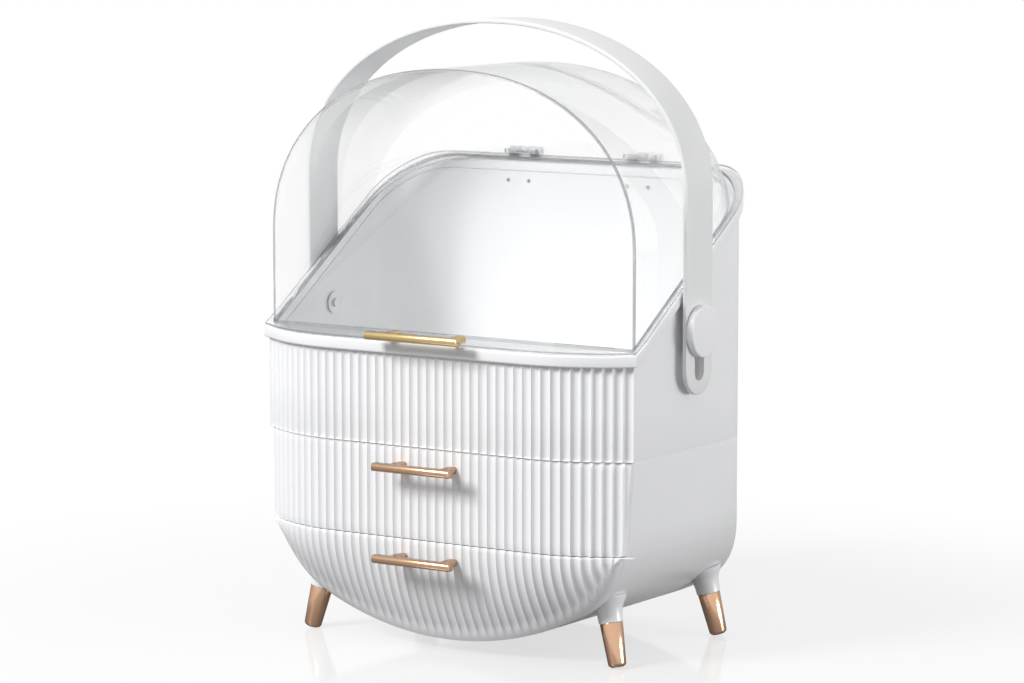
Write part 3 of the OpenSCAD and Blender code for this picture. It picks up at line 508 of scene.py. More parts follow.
def flute_tree():
    """Cuts concave flutes into a bowed face, which stores its arc position, way inward and depth."""
    g, i, o = gn_tree("flutes", [
        ("Count", "NodeSocketInt", FLUTES), ("Depth", "NodeSocketFloat", FLUTE_D * MM),
        ("Ridge", "NodeSocketFloat", 0.08), ("Material", "NodeSocketMaterial", None)])
    L = g.links.new
    pos = g.nodes.new("GeometryNodeInputNamedAttribute")
    pos.data_type = "FLOAT"
    pos.inputs["Name"].default_value = "arc"
    amp = g.nodes.new("GeometryNodeInputNamedAttribute")
    amp.data_type = "FLOAT"
    amp.inputs["Name"].default_value = "amp"
    way = g.nodes.new("GeometryNodeInputNamedAttribute")
    way.data_type = "FLOAT_VECTOR"
    way.inputs["Name"].default_value = "way"
    # arc runs 0..1 across the face; u is the place inside one flute
    scaled = gmath(g, "MULTIPLY", pos.outputs[0], i.outputs["Count"])
    u = gmath(g, "FRACT", gmath(g, "ADD", scaled, 1e-5))
    v = gmath(g, "ABSOLUTE", gmath(g, "SUBTRACT", gmath(g, "MULTIPLY", u, 2.0), 1.0))
    # a trough, a little flatter than a parabola, between ridges that are slightly blunt
    flat = gmath(g, "SUBTRACT", 1.0, i.outputs["Ridge"])
    capped = gmath(g, "MINIMUM", gmath(g, "POWER", v, 2.5), flat)
    cut = gmath(g, "SUBTRACT", flat, capped)
    depth = gmath(g, "MULTIPLY", gmath(g, "MULTIPLY", cut, amp.outputs[0]), i.outputs["Depth"])
    vec = g.nodes.new("ShaderNodeVectorMath")
    vec.operation = "SCALE"
    L(way.outputs[0], vec.inputs[0])
    L(depth, vec.inputs["Scale"])
    sp = g.nodes.new("GeometryNodeSetPosition")
    L(i.outputs["Geometry"], sp.inputs["Geometry"])
    L(vec.outputs["Vector"], sp.inputs["Offset"])
    real = g.nodes.new("GeometryNodeRealizeInstances")
    L(sp.outputs["Geometry"], real.inputs["Geometry"])
    sm = g.nodes.new("GeometryNodeSetMaterial")
    L(real.outputs["Geometry"], sm.inputs["Geometry"])
    L(i.outputs["Material"], sm.inputs["Material"])
    L(sm.outputs["Geometry"], o.inputs["Geometry"])
    return g


def set_tree():
    """Puts copies of one piece on points that store a turn, and gives them a material."""
    g, i, o = gn_tree("set_on_points", [
        ("Piece", "NodeSocketObject", None), ("Material", "NodeSocketMaterial", None)])
    L = g.links.new
    info = g.nodes.new("GeometryNodeObjectInfo")
    L(i.outputs["Piece"], info.inputs["Object"])
    turn = g.nodes.new("GeometryNodeInputNamedAttribute")
    turn.data_type = "FLOAT_VECTOR"
    turn.inputs["Name"].default_value = "turn"
    inst = g.nodes.new("GeometryNodeInstanceOnPoints")
    L(i.outputs["Geometry"], inst.inputs["Points"])
    L(info.outputs["Geometry"], inst.inputs["Instance"])
    L(turn.outputs[0], inst.inputs["Rotation"])
    real = g.nodes.new("GeometryNodeRealizeInstances")
    L(inst.outputs["Instances"], real.inputs["Geometry"])
    sm = g.nodes.new("GeometryNodeSetMaterial")
    L(real.outputs["Geometry"], sm.inputs["Geometry"])
    L(i.outputs["Material"], sm.inputs["Material"])
    L(sm.outputs["Geometry"], o.inputs["Geometry"])
    return g


FLUTE_TREE = flute_tree()
SET_TREE = set_tree()


def apply_tree(ob, tree, values):
    mod = ob.modifiers.new("nodes", "NODES")
    mod.node_group = tree
    for item in tree.interface.items_tree:
        if item.in_out == "INPUT" and item.name in values:
            mod[item.identifier] = values[item.name]
    return apply_modifiers(ob)


def fluted(name, verts, faces, arc, amp, way, body, replaces):
    """A piece with a fluted face: verts with amp 0 stay where they are."""
    ob = new_object(name, verts, faces)
    me = ob.data
    for key, kind, vals in (("arc", "FLOAT", arc), ("amp", "FLOAT", amp), ("way", "FLOAT_VECTOR", way)):
        a = me.attributes.new(key, kind, "POINT")
        field = "vector" if kind == "FLOAT_VECTOR" else "value"
        a.data.foreach_set(field, np.array(vals, np.float32).ravel())
    me = apply_tree(ob, FLUTE_TREE, {"Count": FLUTES, "Depth": FLUTE_D * MM,
                                     "Ridge": 0.04, "Material": white_front})
    for key in ("arc", "amp", "way"):
        if key in me.attributes:
            me.attributes.remove(me.attributes[key])
    clean(me)
    finish_mesh(me, 48)
    if not me.materials:
        me.materials.append(white_front)
    place(ob, body, replaces)
    return ob


def on_points(name, piece_verts, piece_faces, points, turns, mat, body, replaces, sharp=35.0):
    """Copies of one piece on points, each with its own turn, as one finished piece."""
    src = new_object(name + "_src", piece_verts, piece_faces)
    src_me = src.data
    clean(src_me)
    finish_mesh(src_me, sharp)
    ob = new_object(name, points)
    a = ob.data.attributes.new("turn", "FLOAT_VECTOR", "POINT")
    a.data.foreach_set("vector", np.array(turns, np.float32).ravel())
    me = apply_tree(ob, SET_TREE, {"Piece": src, "Material": mat})
    bpy.data.objects.remove(src)
    bpy.data.meshes.remove(src_me)
    if not me.materials:
        me.materials.append(mat)
    place(ob, body, replaces)
    return ob


# ---------------------------------------------------------------- tray moulding
def build_tier():
    """The fluted tray moulding between the upper seam and the rim."""
    loop = plan_loop(per_flute=10)
    n = len(loop)
    z0 = SEAM_HIGH
    verts, arc, amp, way = [], [], [], []
    rows = []
    # outside, bottom to top, then the inner wall down to the tray floor
    rows.append((-0.5, lambda y: z0, 0.0))
    rows.append((-0.12, lambda y: z0 + 0.15, 1.0))
    rows.append((0.0, lambda y: z0 + 0.6, 1.0))
    rows.append((0.0, lambda y: z0 + 30, 1.0))
    rows.append((0.0, lambda y: rim_z(y) - LIP_H + 0.05, 1.0))
    rows.append((-WALL, lambda y: rim_z(y) - LIP_H + 0.05, 0.0))
    rows.append((-WALL, lambda y: z0 + WALL + 2.5, 0.0))
    rows.append((-WALL - 0.8, lambda y: z0 + WALL + 0.7, 0.0))
    rows.append((-WALL - 2.5, lambda y: z0 + WALL, 0.0))
    for p in loop:
        for o, fz, a in rows:
            x, y = offset_plan(p, o)
            verts.append((x, y, fz(y)))
            s = p[4]
            arc.append((s + SLEN) / (2 * SLEN) if s is not None else 0)
            amp.append(a if s is not None else 0)
            way.append((-p[2], -p[3], 0))
    m = len(rows)
    faces = grid(n, m, closed_u=True)
    faces.append(tuple(i * m for i in range(n)))
    faces.append(tuple(i * m + m - 1 for i in reversed(range(n))))
    return fluted("tray_moulding", verts, faces, arc, amp, way, "housing", ["top_tier"])


def satin_and_shade_inside(ob):
    """The tray's inner walls take the duller, darker inner white, whose darker colour is painted shade: they
    face the middle of the plan.
    """
    ob.data.materials.append(shaded_inner_white)
    for f in ob.data.polygons:
        if f.center.x * f.normal.x + (f.center.y - 0.015) * f.normal.y < -0.01:
            f.material_index = 1


def build_lip():
    """The rounded lip that follows the plan and rises with the rim."""
    loop = plan_loop(turn=20)
    n = len(loop)
    sec = round_rect(-WALL, LIP_OVER, -LIP_H, 0, 1.3, 5)
    verts = []
    for p in loop:
        for o, dz in sec:
            x, y = offset_plan(p, o)
            verts.append((x, y, rim_z(y) + dz))
    faces = grid(n, len(sec), closed_u=True, closed_v=True)
    return make("rim_lip", verts, faces, white, "housing", ["rim_trim"], sharp=50)


# ---------------------------------------------------------------- drawer fronts
def front_shell(name, z_bottom, z_top, tucked, body, replaces):
    """A fluted, bowed drawer front; a tucked one runs back to the under-curve along its lower edge."""
    per = 10
    cols = FLUTES * per
    nr = 44 if tucked else 22
    verts, arc, amp, way = [], [], [], []
    s_all = [-SLEN + 2 * SLEN * i / cols for i in range(cols + 1)]

    def add(x, y, z, s, a, d):
        verts.append((x, y, z))
        arc.append((s + SLEN) / (2 * SLEN))
        amp.append(a)
        way.append(d)

    ring = 0
    for s in s_all:
        x, y, nx, ny = bow(s)
        zl = max(z_bottom, u_low(x)) if abs(x) < HALF - 1e-6 else z_top
        zl = min(zl, z_top - 0.3)
        count = 0
        for j in range(nr + 1):
            t = j / nr
            t = t**1.15 if tucked else t
            z = zl + (z_top - zl) * t
            h = z - zl
            f = 0.0
            a = 1.0
            if tucked:
                zs = TUCK_TOP
                f = max(0.0, 1 - h / max(1.0, zs - zl)) ** TUCK_POWER if z < zs else 0.0
                a = min(1.0, max(0.0, (h - 1.5) / 9.0))
                a = a * a * (3 - 2 * a) * (1 - 0.35 * f)
            yy = y + (CORNER - y) * f
            # small rounding along the top and bottom edges
            e = 0.0
            if z_top - z < 0.5:
                e = 0.5 - math.sqrt(max(0, 0.25 - (0.5 - (z_top - z)) ** 2))
            if not tucked and z - z_bottom < 0.5:
                e = max(e, 0.5 - math.sqrt(max(0, 0.25 - (0.5 - (z - z_bottom)) ** 2)))
            add(x - nx * e * (1 - f), yy - ny * e * (1 - f), z, s, a, (-nx * (1 - f), -ny, 0))
            count += 1
        # back side
        if tucked or abs(x) > SOLID_END:
            bx, by = x, REAR
        else:
            bx, by = max(-HALF, min(HALF, x - nx * SKIN)), min(REAR, y - ny * SKIN)
        add(bx, by, z_top, s, 0, (0, 0, 0))
        add(bx, by, zl, s, 0, (0, 0, 0))
        ring = count + 2
    n = cols + 1
    faces = grid(n, ring, closed_v=True)
    faces.append(tuple(range(ring)))
    faces.append(tuple((n - 1) * ring + j for j in reversed(range(ring))))
    return fluted(name, verts, faces, arc, amp, way, body, replaces)


satin_and_shade_inside(build_tier())
build_lip()
front_shell("upper_drawer_front", SEAM_LOW + 0.3, SEAM_HIGH - 0.45, False, "drawer_upper",
            ["drawer_upper_front"])
front_shell("lower_drawer_front", GAP, SEAM_LOW - 0.2, True, "drawer_lower",
            ["drawer_lower_front", "drawer_lower_tuck"])


# ---------------------------------------------------------------- housing
def extrude_poly(pts, axis, a, b):
    """Closed prism of a polygon: axis Y takes (x, z), axis Z takes (x, y), axis X takes (y, z)."""
    n = len(pts)
    v = []
    for t in (a, b):
        for p, q in pts:
            v.append({"Y": (p, t, q), "Z": (p, q, t), "X": (t, p, q)}[axis])
    f = [(i, (i + 1) % n, n + (i + 1) % n, n + i) for i in range(n)]
    f.append(tuple(range(n)))
    f.append(tuple(range(2 * n - 1, n - 1, -1)))
    return v, f


def temp_object(verts, faces):
    ob = new_object("tmp", verts, faces)
    clean(ob.data)
    return ob


def boolean(ob, other, op):
    """Joins, cuts or intersects one object with another, which goes away."""
    m = ob.modifiers.new("b", "BOOLEAN")
    m.operation = op
    m.object = other
    m.solver = "EXACT"
    apply_modifiers(ob)
    om = other.data
    bpy.data.objects.remove(other)
    bpy.data.meshes.remove(om)


def bevel(ob, width, segs, angle):
    m = ob.modifiers.new("bevel", "BEVEL")
    m.width = width * MM
    m.segments = segs
    m.limit_method = "ANGLE"
    m.angle_limit = math.radians(angle)
    apply_modifiers(ob)


def finished(ob, name, mat, body, replaces, sharp=35.0):
    ob.name = name
    ob.data.name = name
    clean(ob.data)
    ob.data.materials.clear()
    ob.data.materials.append(mat)
    finish_mesh(ob.data, sharp)
    place(ob, body, replaces)
    return ob


def u_polygon(o, top):
    """The body's front outline below a height, moved inward by o, as (x, z)."""
    right = [(p[0], p[1]) for p in u_curve(o) if p[1] < top] + [(u_half(top) - o, top)]
    return [(-x, z) for x, z in reversed(right)] + right[1:]


def plan_polygon(o):
    return [offset_plan(p, o) for p in plan_loop(turn=20)]


def build_housing():
    """The lower body: a U-shaped shell, open to the front and the top."""
    ob = temp_object(*extrude_poly(u_polygon(0, SEAM_HIGH), "Y", OPEN, BACK + 5))
    boolean(ob, temp_object(*extrude_poly(plan_polygon(0), "Z", -5, SEAM_HIGH + 5)), "INTERSECT")
    bevel(ob, 1.2, 3, 38)
    cut = temp_object(*extrude_poly(u_polygon(WALL, SEAM_HIGH + 3), "Y", OPEN - 3, BACK - WALL))
    boolean(cut, temp_object(*extrude_poly(plan_polygon(-WALL), "Z", -5, SEAM_HIGH + 8)), "INTERSECT")
    boolean(ob, cut, "DIFFERENCE")
    return finished(ob, "lower_body", white, "housing", ["lower_housing"])


build_housing()


# ---------------------------------------------------------------- clear cover
CF, CB = CORNER + 1.9, BACK - 1.9
CR, CT, CH = 44.0, 2.0, 135.8
CSP, CTOP, CPOW = 259.0, 366.0, 2.15
EDGE_BAND = 2.7


def cover_rows(t):
    """Stations front to back as (y, inset) of the surface t inside the outer one."""
    rows = []
    e = 1.0
    if t == 0:
        for i in range(4, 0, -1):
            a = math.pi / 2 * i / 4
            rows.append((CF + e * (1 - math.sin(a)), e * (1 - math.cos(a))))
        rows += [(CF + e, 0.0), (CF + EDGE_BAND, 0.0)]
    else:
        rows = [(CF + t, t)]
    y1 = CB - CR
    for k in range(1, 6):
        rows.append((CF + 3 + (y1 - CF - 3) * k / 6, t))
    for i in range(19):
        a = math.pi / 2 * i / 18
        rows.append((y1 + (CR - t) * math.sin(a), CR - (CR - t) * math.cos(a)))
    return rows


def arch_at(t, d):
    """Point of the arch at angle t, moved inward by d."""
    c, q = math.cos(t), math.sin(t)
    x = CH * abs(c) ** (2 / CPOW) * (1 if c >= 0 else -1)
    z = (CTOP - CSP) * max(0.0, q) ** (2 / CPOW)
    nx = (1 if x >= 0 else -1) * (abs(x) / CH) ** (CPOW - 1) / CH
    nz = (z / (CTOP - CSP)) ** (CPOW - 1) / (CTOP - CSP)
    k = math.hypot(nx, nz)
    return x - d * nx / k, CSP + z - d * nz / k


def arch_low(z, d):
    """Angle at which the arch, moved inward by d, passes height z."""
    lo, hi = 0.0, math.pi / 2
    for _ in range(30):
        m = (lo + hi) / 2
        if arch_at(m, d)[1] < z:
            lo = m
        else:
            hi = m
    return (lo + hi) / 2


def edge_faces(ob, test):
    """The cut and rounded edges of a clear sheet take the edge material, whose grey is a painted dark
    reflection.
    """
    ob.data.materials.append(clear_edge_painted_reflection)
    for f in ob.data.polygons:
        if test(f.center, f.normal):
            f.material_index = 1


def build_cover():
    """The clear cover: an arch with a flat front, rounded into its back, cut off along the rim."""
    n = 56

    def section(y, d):
        zb = rim_z(y, 0.5) + SHEET_GAP
        if zb < CSP:
            side = [zb, zb + (CSP - zb) * 0.5]
            pts = [(-CH + d, y, z) for z in side]
            for i in range(n + 1):
                x, z = arch_at(math.pi - math.pi * i / n, d)
                pts.append((x, y, z))
            return pts + [(CH - d, y, z) for z in reversed(side)]
        a = arch_low(zb, d)
        pts = []
        for i in range(n + 5):
            x, z = arch_at(math.pi - a - (math.pi - 2 * a) * i / (n + 4), d)
            pts.append((x, y, zb if i in (0, n + 4) else z))
        return pts

    outer = [section(y, d) for y, d in cover_rows(0)]
    inner = [section(y, d) for y, d in cover_rows(CT)]
    m = len(outer[0])
    verts = [p for s in outer for p in s] + [p for s in inner for p in s]
    no, ni = len(outer), len(inner)
    b = no * m
    faces = grid(no, m) + [tuple(reversed(f)) for f in grid(ni, m, b)]
    faces.append(tuple(range(m)))
    faces.append(tuple((no - 1) * m + i for i in reversed(range(m))))
    faces.append(tuple(b + i for i in reversed(range(m))))
    faces.append(tuple(b + (ni - 1) * m + i for i in range(m)))
    # bottom edge: one band between the outer and the inner boundary loops
    lo = [i * m for i in range(no)] + [i * m + m - 1 for i in reversed(range(no))]
    li = [b + i * m for i in range(ni)] + [b + i * m + m - 1 for i in reversed(range(ni))]
    ob = new_object("cover", verts, faces)
    me = ob.data
    bm = bmesh.new()
    bm.from_mesh(me)
    bm.verts.ensure_lookup_table()
    bm.edges.ensure_lookup_table()

    def edges(loop):
        out = []
        for k in range(len(loop)):
            e = bm.edges.get((bm.verts[loop[k]], bm.verts[loop[(k + 1) % len(loop)]]))
            if e:
                out.append(e)
        return out

    bmesh.ops.bridge_loops(bm, edges=edges(lo) + edges(li))
    bmesh.ops.recalc_face_normals(bm, faces=bm.faces)
    bm.to_mesh(me)
    bm.free()
    ob = finished(ob, "clear_cover", clear, "cover", ["cover_front_shell", "cover_back_shell"],
                  40)
    # the front edge band and the foot of the cover get the painted dark reflection
    band = (CF + EDGE_BAND + 0.05) * MM
    edge_faces(ob, lambda c, n: (c.y < band and abs(n.y) < 0.97)
               or abs(c.z - (rim_z(c.y / MM, 0.5) + SHEET_GAP) * MM) < 5e-5)
    return ob


def build_flange():
    """The clear ledge round the cover's foot, from the cover's wall out to just inside the lip's edge."""
    loop = plan_loop(turn=20)
    verts = []
    n = len(loop)
    z0, z1 = SHEET_GAP, SHEET_GAP + LEDGE_T
    o = LIP_OVER - 0.5

    def inner(p):
        x, y = p[0], p[1]
        if p[4] is not None:
            return (max(-CH, min(CH, x)), CF)
        if y < CB - CR:
            return (math.copysign(CH, x), max(CF, y))
        dx, dy = abs(x) - (CH - CR), y - (CB - CR)
        if dx <= 0:
            return (x, CB)
        q = math.hypot(dx, dy)
        return (math.copysign(CH - CR + CR * dx / q, x), CB - CR + CR * dy / q)

    for p in loop:
        ix, iy = inner(p)
        ox, oy = offset_plan(p, o)
        ex, ey = offset_plan(p, o - 0.5)
        verts += [(ix, iy, rim_z(iy) + z0), (ex, ey, rim_z(ey) + z0), (ox, oy, rim_z(oy) + z0 + 0.5),
                  (ox, oy, rim_z(oy) + z1 - 0.5), (ex, ey, rim_z(ey) + z1), (ix, iy, rim_z(iy) + z1)]
    faces = grid(n, 6, closed_u=True, closed_v=True)
    ob = make("cover_ledge", verts, faces, clear, "cover", ["cover_flange"], sharp=30)
    # the ledge's outer and inner edges get the painted dark reflection
    edge_faces(ob, lambda c, n: math.hypot(n.x, n.y) > 0.95)


build_cover()
build_flange()


# ---------------------------------------------------------------- handle
def build_strap():
    """The carrying strap: a superellipse arch on straight ends that are round at the foot and slotted."""
    sin_ = HALF + LIP_OVER + STRAP_GAP
    sout = sin_ + STRAP_T
    spring, top, pw = STRAP_SPRING, STRAP_TOP, STRAP_POWER
    hw = STRAP_W / 2

    def path(h, rise, n=72):
        out = []
        for i in range(n + 1):
            t = math.pi - math.pi * i / n
            c, s = math.cos(t), math.sin(t)
            x = h * abs(c) ** (2 / pw) * (1 if c >= 0 else -1)
            out.append((x, spring + rise * max(0, s) ** (2 / pw)))
        return out

    end_z = PIV_Z - STRAP_TAIL + hw
    pin, pout = path(sin_, top - STRAP_T - spring), path(sout, top - spring)
    # stations along one side from the tail's round end up, with the half width there
    lows = []
    for i in range(15):
        a = math.pi / 2 * i / 14
        lows.append((end_z - hw * math.cos(a), hw * math.sin(a)))
    for z in np.linspace(end_z, spring, 14)[1:-1]:
        lows.append((float(z), hw))
    st = [((-sin_, z), (-sout, z), w) for z, w in lows]
    st += [(a, b, hw) for a, b in zip(pin, pout)]
    st += [((sin_, z), (sout, z), w) for z, w in reversed(lows)]
    verts = []
    for pi, po, w in st:
        w = max(w, 0.02)
        rr = min(STRAP_EDGE, w * 0.5)
        sec = []
        for k, (edge, sgn) in enumerate(((1, 1), (1, -1), (0, -1), (0, 1))):
            # corners in order: outer +Y, outer -Y, inner -Y, inner +Y
            pts = []
            for i in range(5):
                a = math.pi / 2 * i / 4
                depth = rr / STRAP_T * (1 - math.sin(a))
                inset = rr * (1 - math.cos(a))
                f = 1 - depth if edge else depth
                pts.append((f, sgn * (w - inset)))
            sec += pts if k in (0, 2) else pts[::-1]
        for f, yy in sec:
            verts.append((pi[0] + (po[0] - pi[0]) * f, PIV_Y + yy, pi[1] + (po[1] - pi[1]) * f))
    m = 20
    n = len(st)
    faces = grid(n, m, closed_v=True)
    faces.append(tuple(range(m)))
    faces.append(tuple((n - 1) * m + i for i in reversed(range(m))))
    ob = temp_object(verts, faces)
    for k in (1, -1):
        pts = []
        for cz, a0 in ((PIV_Z, 0), (PIV_Z - SLOT_RUN, 180)):
            for i in range(17):
                a = math.radians(a0 + 180 * i / 16)
                pts.append((PIV_Y + SLOT_R * math.cos(a), cz + SLOT_R * math.sin(a)))
        boolean(ob, temp_object(*extrude_poly(pts, "X", k * (sin_ - 3), k * (sout + 3))), "DIFFERENCE")
    parts = ["handle_" + part + side for part in ("crown", "haunch", "leg") for side in ("_left", "_right")]
    # the strap's darker white is painted shade
    return finished(ob, "strap_handle", shaded_strap_white, "handle", parts, sharp=40)


build_strap()


def build_buttons():
    r, h, e = BUTTON_R, BUTTON_H, BUTTON_EDGE
    prof = [(0, 0), (r - 0.3, 0), (r, 0.3), (r, h - e)]
    for i in range(1, 9):
        a = math.pi / 2 * i / 8
        prof.append((r - e + e * math.cos(a), h - e + e * math.sin(a)))
    prof.append((0, h))
    v, f = lathe(prof, 96)
    x = HALF + LIP_OVER + STRAP_GAP + STRAP_T + 0.2
    return on_points("pivot_buttons", v, f, [(x, PIV_Y, PIV_Z), (-x, PIV_Y, PIV_Z)],
                     [(0, math.pi / 2, 0), (0, -math.pi / 2, 0)], white, "handle_pivots",
                     ["button_left", "button_right"])


build_buttons()


# ---------------------------------------------------------------- pulls
def bar_profile(inset):
    """Section of a pull's bar as (y, z) from the middle of its front face; well rounded in front."""
    pts = []
    t, d = PULL_T / 2 - inset, PULL_D - inset
    for cy, cz, r, a0 in ((0, -1, 2.0, 180), (1, -1, 0.6, 270), (1, 1, 0.6, 0), (0, 1, 2.0, 90)):
        q = max(0.05, r - inset)
        py = inset + q if cy == 0 else d - q
        for i in range(7):
            a = math.radians(a0 + 90 * i / 6)
            pts.append((py + q * math.cos(a), cz * (t - q) + q * math.sin(a)))
    return pts


def pull(name, length, reach, y, z, mat, body, replaces):
    """A straight bar on two posts whose feet end at y."""
    verts, faces = [], []
    front = y - reach
    half = length / 2
    st = [(-half, 0.4), (-half + 0.12, 0.12), (-half + 0.4, 0)]
    st += [(-x, inset) for x, inset in reversed(st)]
    for x, inset in st:
        verts += [(x, front + py, z + pz) for py, pz in bar_profile(inset)]
    m = 28
    faces += grid(len(st), m, closed_v=True)
    faces.append(tuple(range(m)))
    faces.append(tuple((len(st) - 1) * m + i for i in reversed(range(m))))
    low, high = (round_rect(-POST_HALF, POST_HALF, 0.1 - PULL_T / 2, top, 0.7) for top in (POST_LOW, POST_HIGH))
    m = len(low)
    for k in (-1, 1):
        base = len(verts)
        for py, sec in ((front + PULL_D - 0.8, low), (y - 8.5, high), (y + 1.5, high)):
            verts += [(k * (half - POST_IN) + px, py, z + pz) for px, pz in sec]
        faces += grid(3, m, base, closed_v=True)
        faces.append(tuple(base + i for i in range(m)))
        faces.append(tuple(base + 2 * m + i for i in reversed(range(m))))
    return make(name, verts, faces, mat, body, replaces, sharp=40)


FLANGE_F = FRONT - LIP_OVER + 0.5
pull("upper_pull", PULL_LEN, PULL_REACH, FRONT, UPPER_PULL_Z, gold, "drawer_upper", ["drawer_upper_pull"])
pull("lower_pull", PULL_LEN, PULL_REACH, FRONT, LOWER_PULL_Z, gold, "drawer_lower", ["drawer_lower_pull"])
pull("cover_bar_pull", COVER_PULL_LEN, COVER_PULL_REACH, FLANGE_F + COVER_PULL_IN,
     RIM_F + SHEET_GAP + LEDGE_T + PULL_T / 2, gold_cover, "cover", ["cover_pull"])


# ---------------------------------------------------------------- feet
LX, LY = 0.235, 0.09
LK = 1 / math.sqrt(1 + LX * LX + LY * LY)
FA = math.asin(LY * LK)
FB = math.asin(LX * LK / math.cos(FA))
FOOT = [(sx, sy) for sx in (-1, 1) for sy in (-1, 1)]
FOOT_PTS = [(sx * FOOT_X, CORNER + FOOT_IN if sy < 0 else BACK - FOOT_IN, 0) for sx, sy in FOOT]
FOOT_TURN = [(sy * FA, -sx * FB, 0) for sx, sy in FOOT]
FOOT_NAMES = ["front_left", "back_left", "front_right", "back_right"]


def build_feet():
    """Cone tips, flared sockets and clear pads, turned about the splayed legs' axes; z is 0 on the ground."""
    tip = [(0, 1.6), (4.6, 1.6), (5.0, 1.75), (5.6, 2.7), (5.68, 3.1), (7.2, 28.0), (7.0, 28.55), (0, 28.55)]
    v, f = lathe(tip, 72)
    on_points("foot_tips", v, f, FOOT_PTS, FOOT_TURN, gold_tip, "housing",
              ["leg_tip_" + n for n in FOOT_NAMES])
    sock = [(0, 28.62), (7.45, 28.62), (7.7, 28.9), (7.75, 30.0), (7.95, 33.5), (8.5, 37), (9.6, 40), (11, 42),
            (12, 45), (0, 45)]
    v, f = lathe(sock, 72)
    on_points("foot_sockets", v, f, FOOT_PTS, FOOT_TURN, white, "housing",
              ["leg_socket_" + n for n in FOOT_NAMES])
    pad = [(0, 0.95), (3.4, 0.95), (3.9, 1.08), (4.3, 1.4), (4.4, 1.6), (0, 1.6)]
    v, f = lathe(pad, 48)
    on_points("foot_pads", v, f, FOOT_PTS, FOOT_TURN, pad_mat, "housing",
              ["foot_pad_" + n for n in FOOT_NAMES])


build_feet()

# ---------------------------------------------------------------- CAD nodes that stay shown
INNER = ["shelf", "upper_rail_left", "upper_rail_right", "lower_rail_left", "lower_rail_right",
         "drawer_upper_box", "drawer_lower_box", "pivot_block_left", "pivot_block_right"]
METAL = ["tier_screws", "drawer_upper_screws", "drawer_lower_screws", "hinge_pins", "hinge_screws",
         "pivot_retainers", "leg_screws"]
# the inner parts and hinge bodies take the darker inner white: painted shade
for names, mat in ((INNER + ["hinge_body_left", "hinge_body_right"], shaded_inner_white), (METAL, steel),
                   (["hinge_cover_left", "hinge_cover_right"], pad_mat)):
    for n in names:
        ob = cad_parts[n]
        for s in ob.material_slots:
            s.link = "OBJECT"
            s.material = mat

# ---------------------------------------------------------------- floor, light, camera
scene = bpy.context.scene


def build_floor():
    me = bpy.data.meshes.new("floor")
    q = 3.0
    me.from_pydata([(-q, -q, 0), (q, -q, 0), (q, q, 0), (-q, q, 0)], [], [(0, 1, 2, 3)])
    ob = bpy.data.objects.new("floor", me)
    scene.collection.objects.link(ob)
    m = bpy.data.materials.new("floor_white")
    m.use_nodes = True
    t = m.node_tree
    t.nodes.clear()
    L = t.links.new
    out = node(t, "ShaderNodeOutputMaterial")
    noise = node(t, "ShaderNodeTexNoise", Scale=40.0, Detail=3.0)
    mr = node(t, "ShaderNodeMapRange")
    mr.inputs["To Min"].default_value = 0.06
    mr.inputs["To Max"].default_value = 0.12
    L(noise.outputs["Fac"], mr.inputs["Value"])
    # what light on the object sees: a pale floor
    pale = node(t, "ShaderNodeBsdfPrincipled", Roughness=0.3)
    pale.inputs["Base Color"].default_value = (0.1, 0.1, 0.105, 1)
    # what the camera sees: white with a faint shadow and a faint reflection
    glow = node(t, "ShaderNodeEmission", Strength=0.78)
    soft = node(t, "ShaderNodeBsdfDiffuse")
    soft.inputs["Color"].default_value = (0.2, 0.2, 0.2, 1)
    add = node(t, "ShaderNodeAddShader")
    L(glow.outputs[0], add.inputs[0])
    L(soft.outputs[0], add.inputs[1])
    shine = node(t, "ShaderNodeBsdfGlossy")
    L(mr.outputs["Result"], shine.inputs["Roughness"])
    mixed = node(t, "ShaderNodeMixShader")
    mixed.inputs["Fac"].default_value = 0.13
    L(add.outputs[0], mixed.inputs[1])
    L(shine.outputs[0], mixed.inputs[2])
    co = node(t, "ShaderNodeTexCoord")
    ln = node(t, "ShaderNodeVectorMath", operation="LENGTH")
    L(co.outputs["Object"], ln.inputs[0])
    far = node(t, "ShaderNodeMapRange", interpolation_type="SMOOTHSTEP")
    far.inputs["From Min"].default_value = 0.25
    far.inputs["From Max"].default_value = 0.6
    L(ln.outputs["Value"], far.inputs["Value"])
    white_out = node(t, "ShaderNodeEmission", Strength=1.0)
    seen = node(t, "ShaderNodeMixShader")
    L(far.outputs["Result"], seen.inputs["Fac"])
    L(mixed.outputs[0], seen.inputs[1])
    L(white_out.outputs[0], seen.inputs[2])
    lp = node(t, "ShaderNodeLightPath")
    cam_or = node(t, "ShaderNodeMath", operation="MAXIMUM")
    L(lp.outputs["Is Camera Ray"], cam_or.inputs[0])
    L(lp.outputs["Is Transmission Ray"], cam_or.inputs[1])
    gl = node(t, "ShaderNodeMath", operation="MULTIPLY")
    L(lp.outputs["Is Glossy Ray"], gl.inputs[0])
    gl.inputs[1].default_value = 0.3
    any_ray = node(t, "ShaderNodeMath", operation="MAXIMUM")
    L(cam_or.outputs[0], any_ray.inputs[0])
    L(gl.outputs[0], any_ray.inputs[1])
    fin = node(t, "ShaderNodeMixShader")
    L(any_ray.outputs[0], fin.inputs["Fac"])
    L(pale.outputs[0], fin.inputs[1])
    L(seen.outputs[0], fin.inputs[2])
    L(fin.outputs[0], out.inputs["Surface"])
    me.materials.append(m)
    return ob


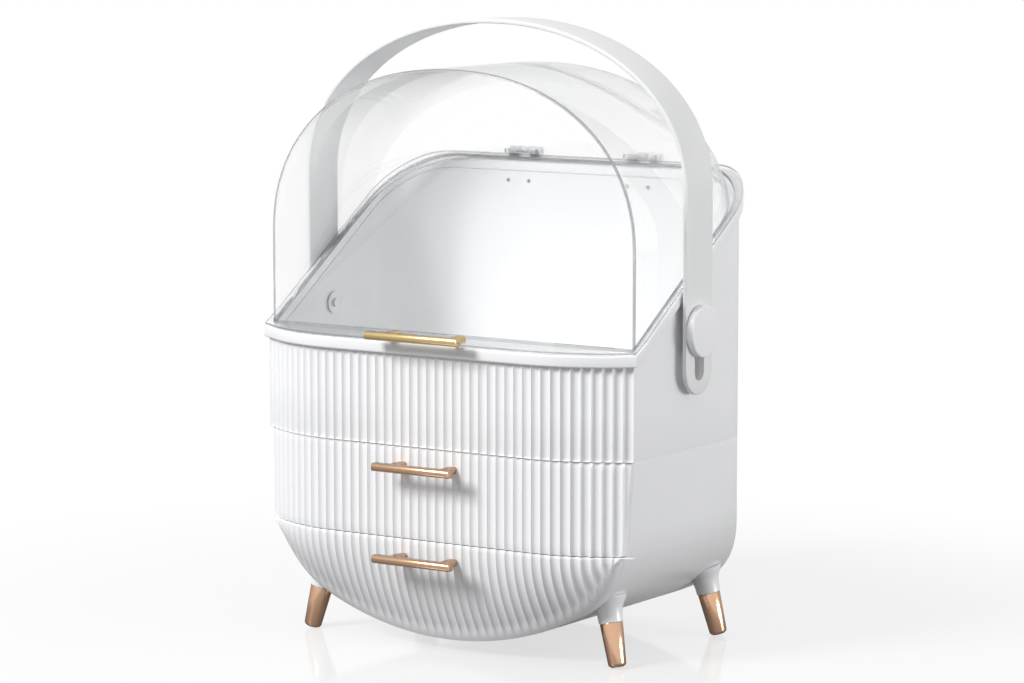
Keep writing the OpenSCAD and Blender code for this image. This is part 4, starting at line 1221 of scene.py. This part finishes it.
build_floor()
world = bpy.data.worlds.new("studio")
scene.world = world
world.use_nodes = True
t = world.node_tree
t.nodes.clear()
out = node(t, "ShaderNodeOutputWorld")
lit = node(t, "ShaderNodeBackground")
lit.inputs["Color"].default_value = (1, 1, 1, 1)
lit.inputs["Strength"].default_value = 0.53
seen = node(t, "ShaderNodeBackground")
seen.inputs["Color"].default_value = (1, 1, 1, 1)
seen.inputs["Strength"].default_value = 1.0
lp = node(t, "ShaderNodeLightPath")
mx = node(t, "ShaderNodeMixShader")
m1 = node(t, "ShaderNodeMath", operation="MAXIMUM")
m2 = node(t, "ShaderNodeMath", operation="MAXIMUM")
t.links.new(lp.outputs["Is Camera Ray"], m1.inputs[0])
t.links.new(lp.outputs["Is Glossy Ray"], m1.inputs[1])
t.links.new(m1.outputs[0], m2.inputs[0])
t.links.new(lp.outputs["Is Transmission Ray"], m2.inputs[1])
t.links.new(m2.outputs[0], mx.inputs["Fac"])
t.links.new(lit.outputs[0], mx.inputs[1])
t.links.new(seen.outputs[0], mx.inputs[2])
t.links.new(mx.outputs[0], out.inputs["Surface"])


def area(name, loc, target, size, energy, color=(1, 1, 1)):
    d = bpy.data.lights.new(name, "AREA")
    d.shape = "RECTANGLE"
    d.size, d.size_y = size
    d.energy = energy
    d.color = color
    o = bpy.data.objects.new(name, d)
    scene.collection.objects.link(o)
    o.location = loc
    o.rotation_mode = "QUATERNION"
    o.rotation_quaternion = (Vector(target) - Vector(loc)).to_track_quat("-Z", "Y")
    return o


area("key", (-0.8, -2.0, 1.6), (0, 0, 0.2), (0.8, 0.8), 55)
area("fill", (2.0, 0.6, 0.22), (0, 0, 0.18), (1.0, 0.4), 17)

cam_data = bpy.data.cameras.new("camera")
cam = bpy.data.objects.new("camera", cam_data)
scene.collection.objects.link(cam)
scene.camera = cam
AZ, PITCH_A, DIST = math.radians(33.4425), math.radians(7.6715), 2.4594
centre = Vector((0, (CORNER + 77.4) * MM, 0.170))
back_dir = Vector((math.sin(AZ) * math.cos(PITCH_A), -math.cos(AZ) * math.cos(PITCH_A), math.sin(PITCH_A)))
cam.location = centre + back_dir * DIST
cam.rotation_mode = "QUATERNION"
cam.rotation_quaternion = (-back_dir).to_track_quat("-Z", "Y")
cam_data.sensor_width = 36
cam_data.lens = 3840.73 * 36 / 1024
cam_data.shift_x = -(514.44 - 512) / 1024
cam_data.shift_y = (370.37 - 341.5) / 1024
cam_data.clip_start, cam_data.clip_end = 0.05, 50

scene.view_settings.view_transform = "Standard"
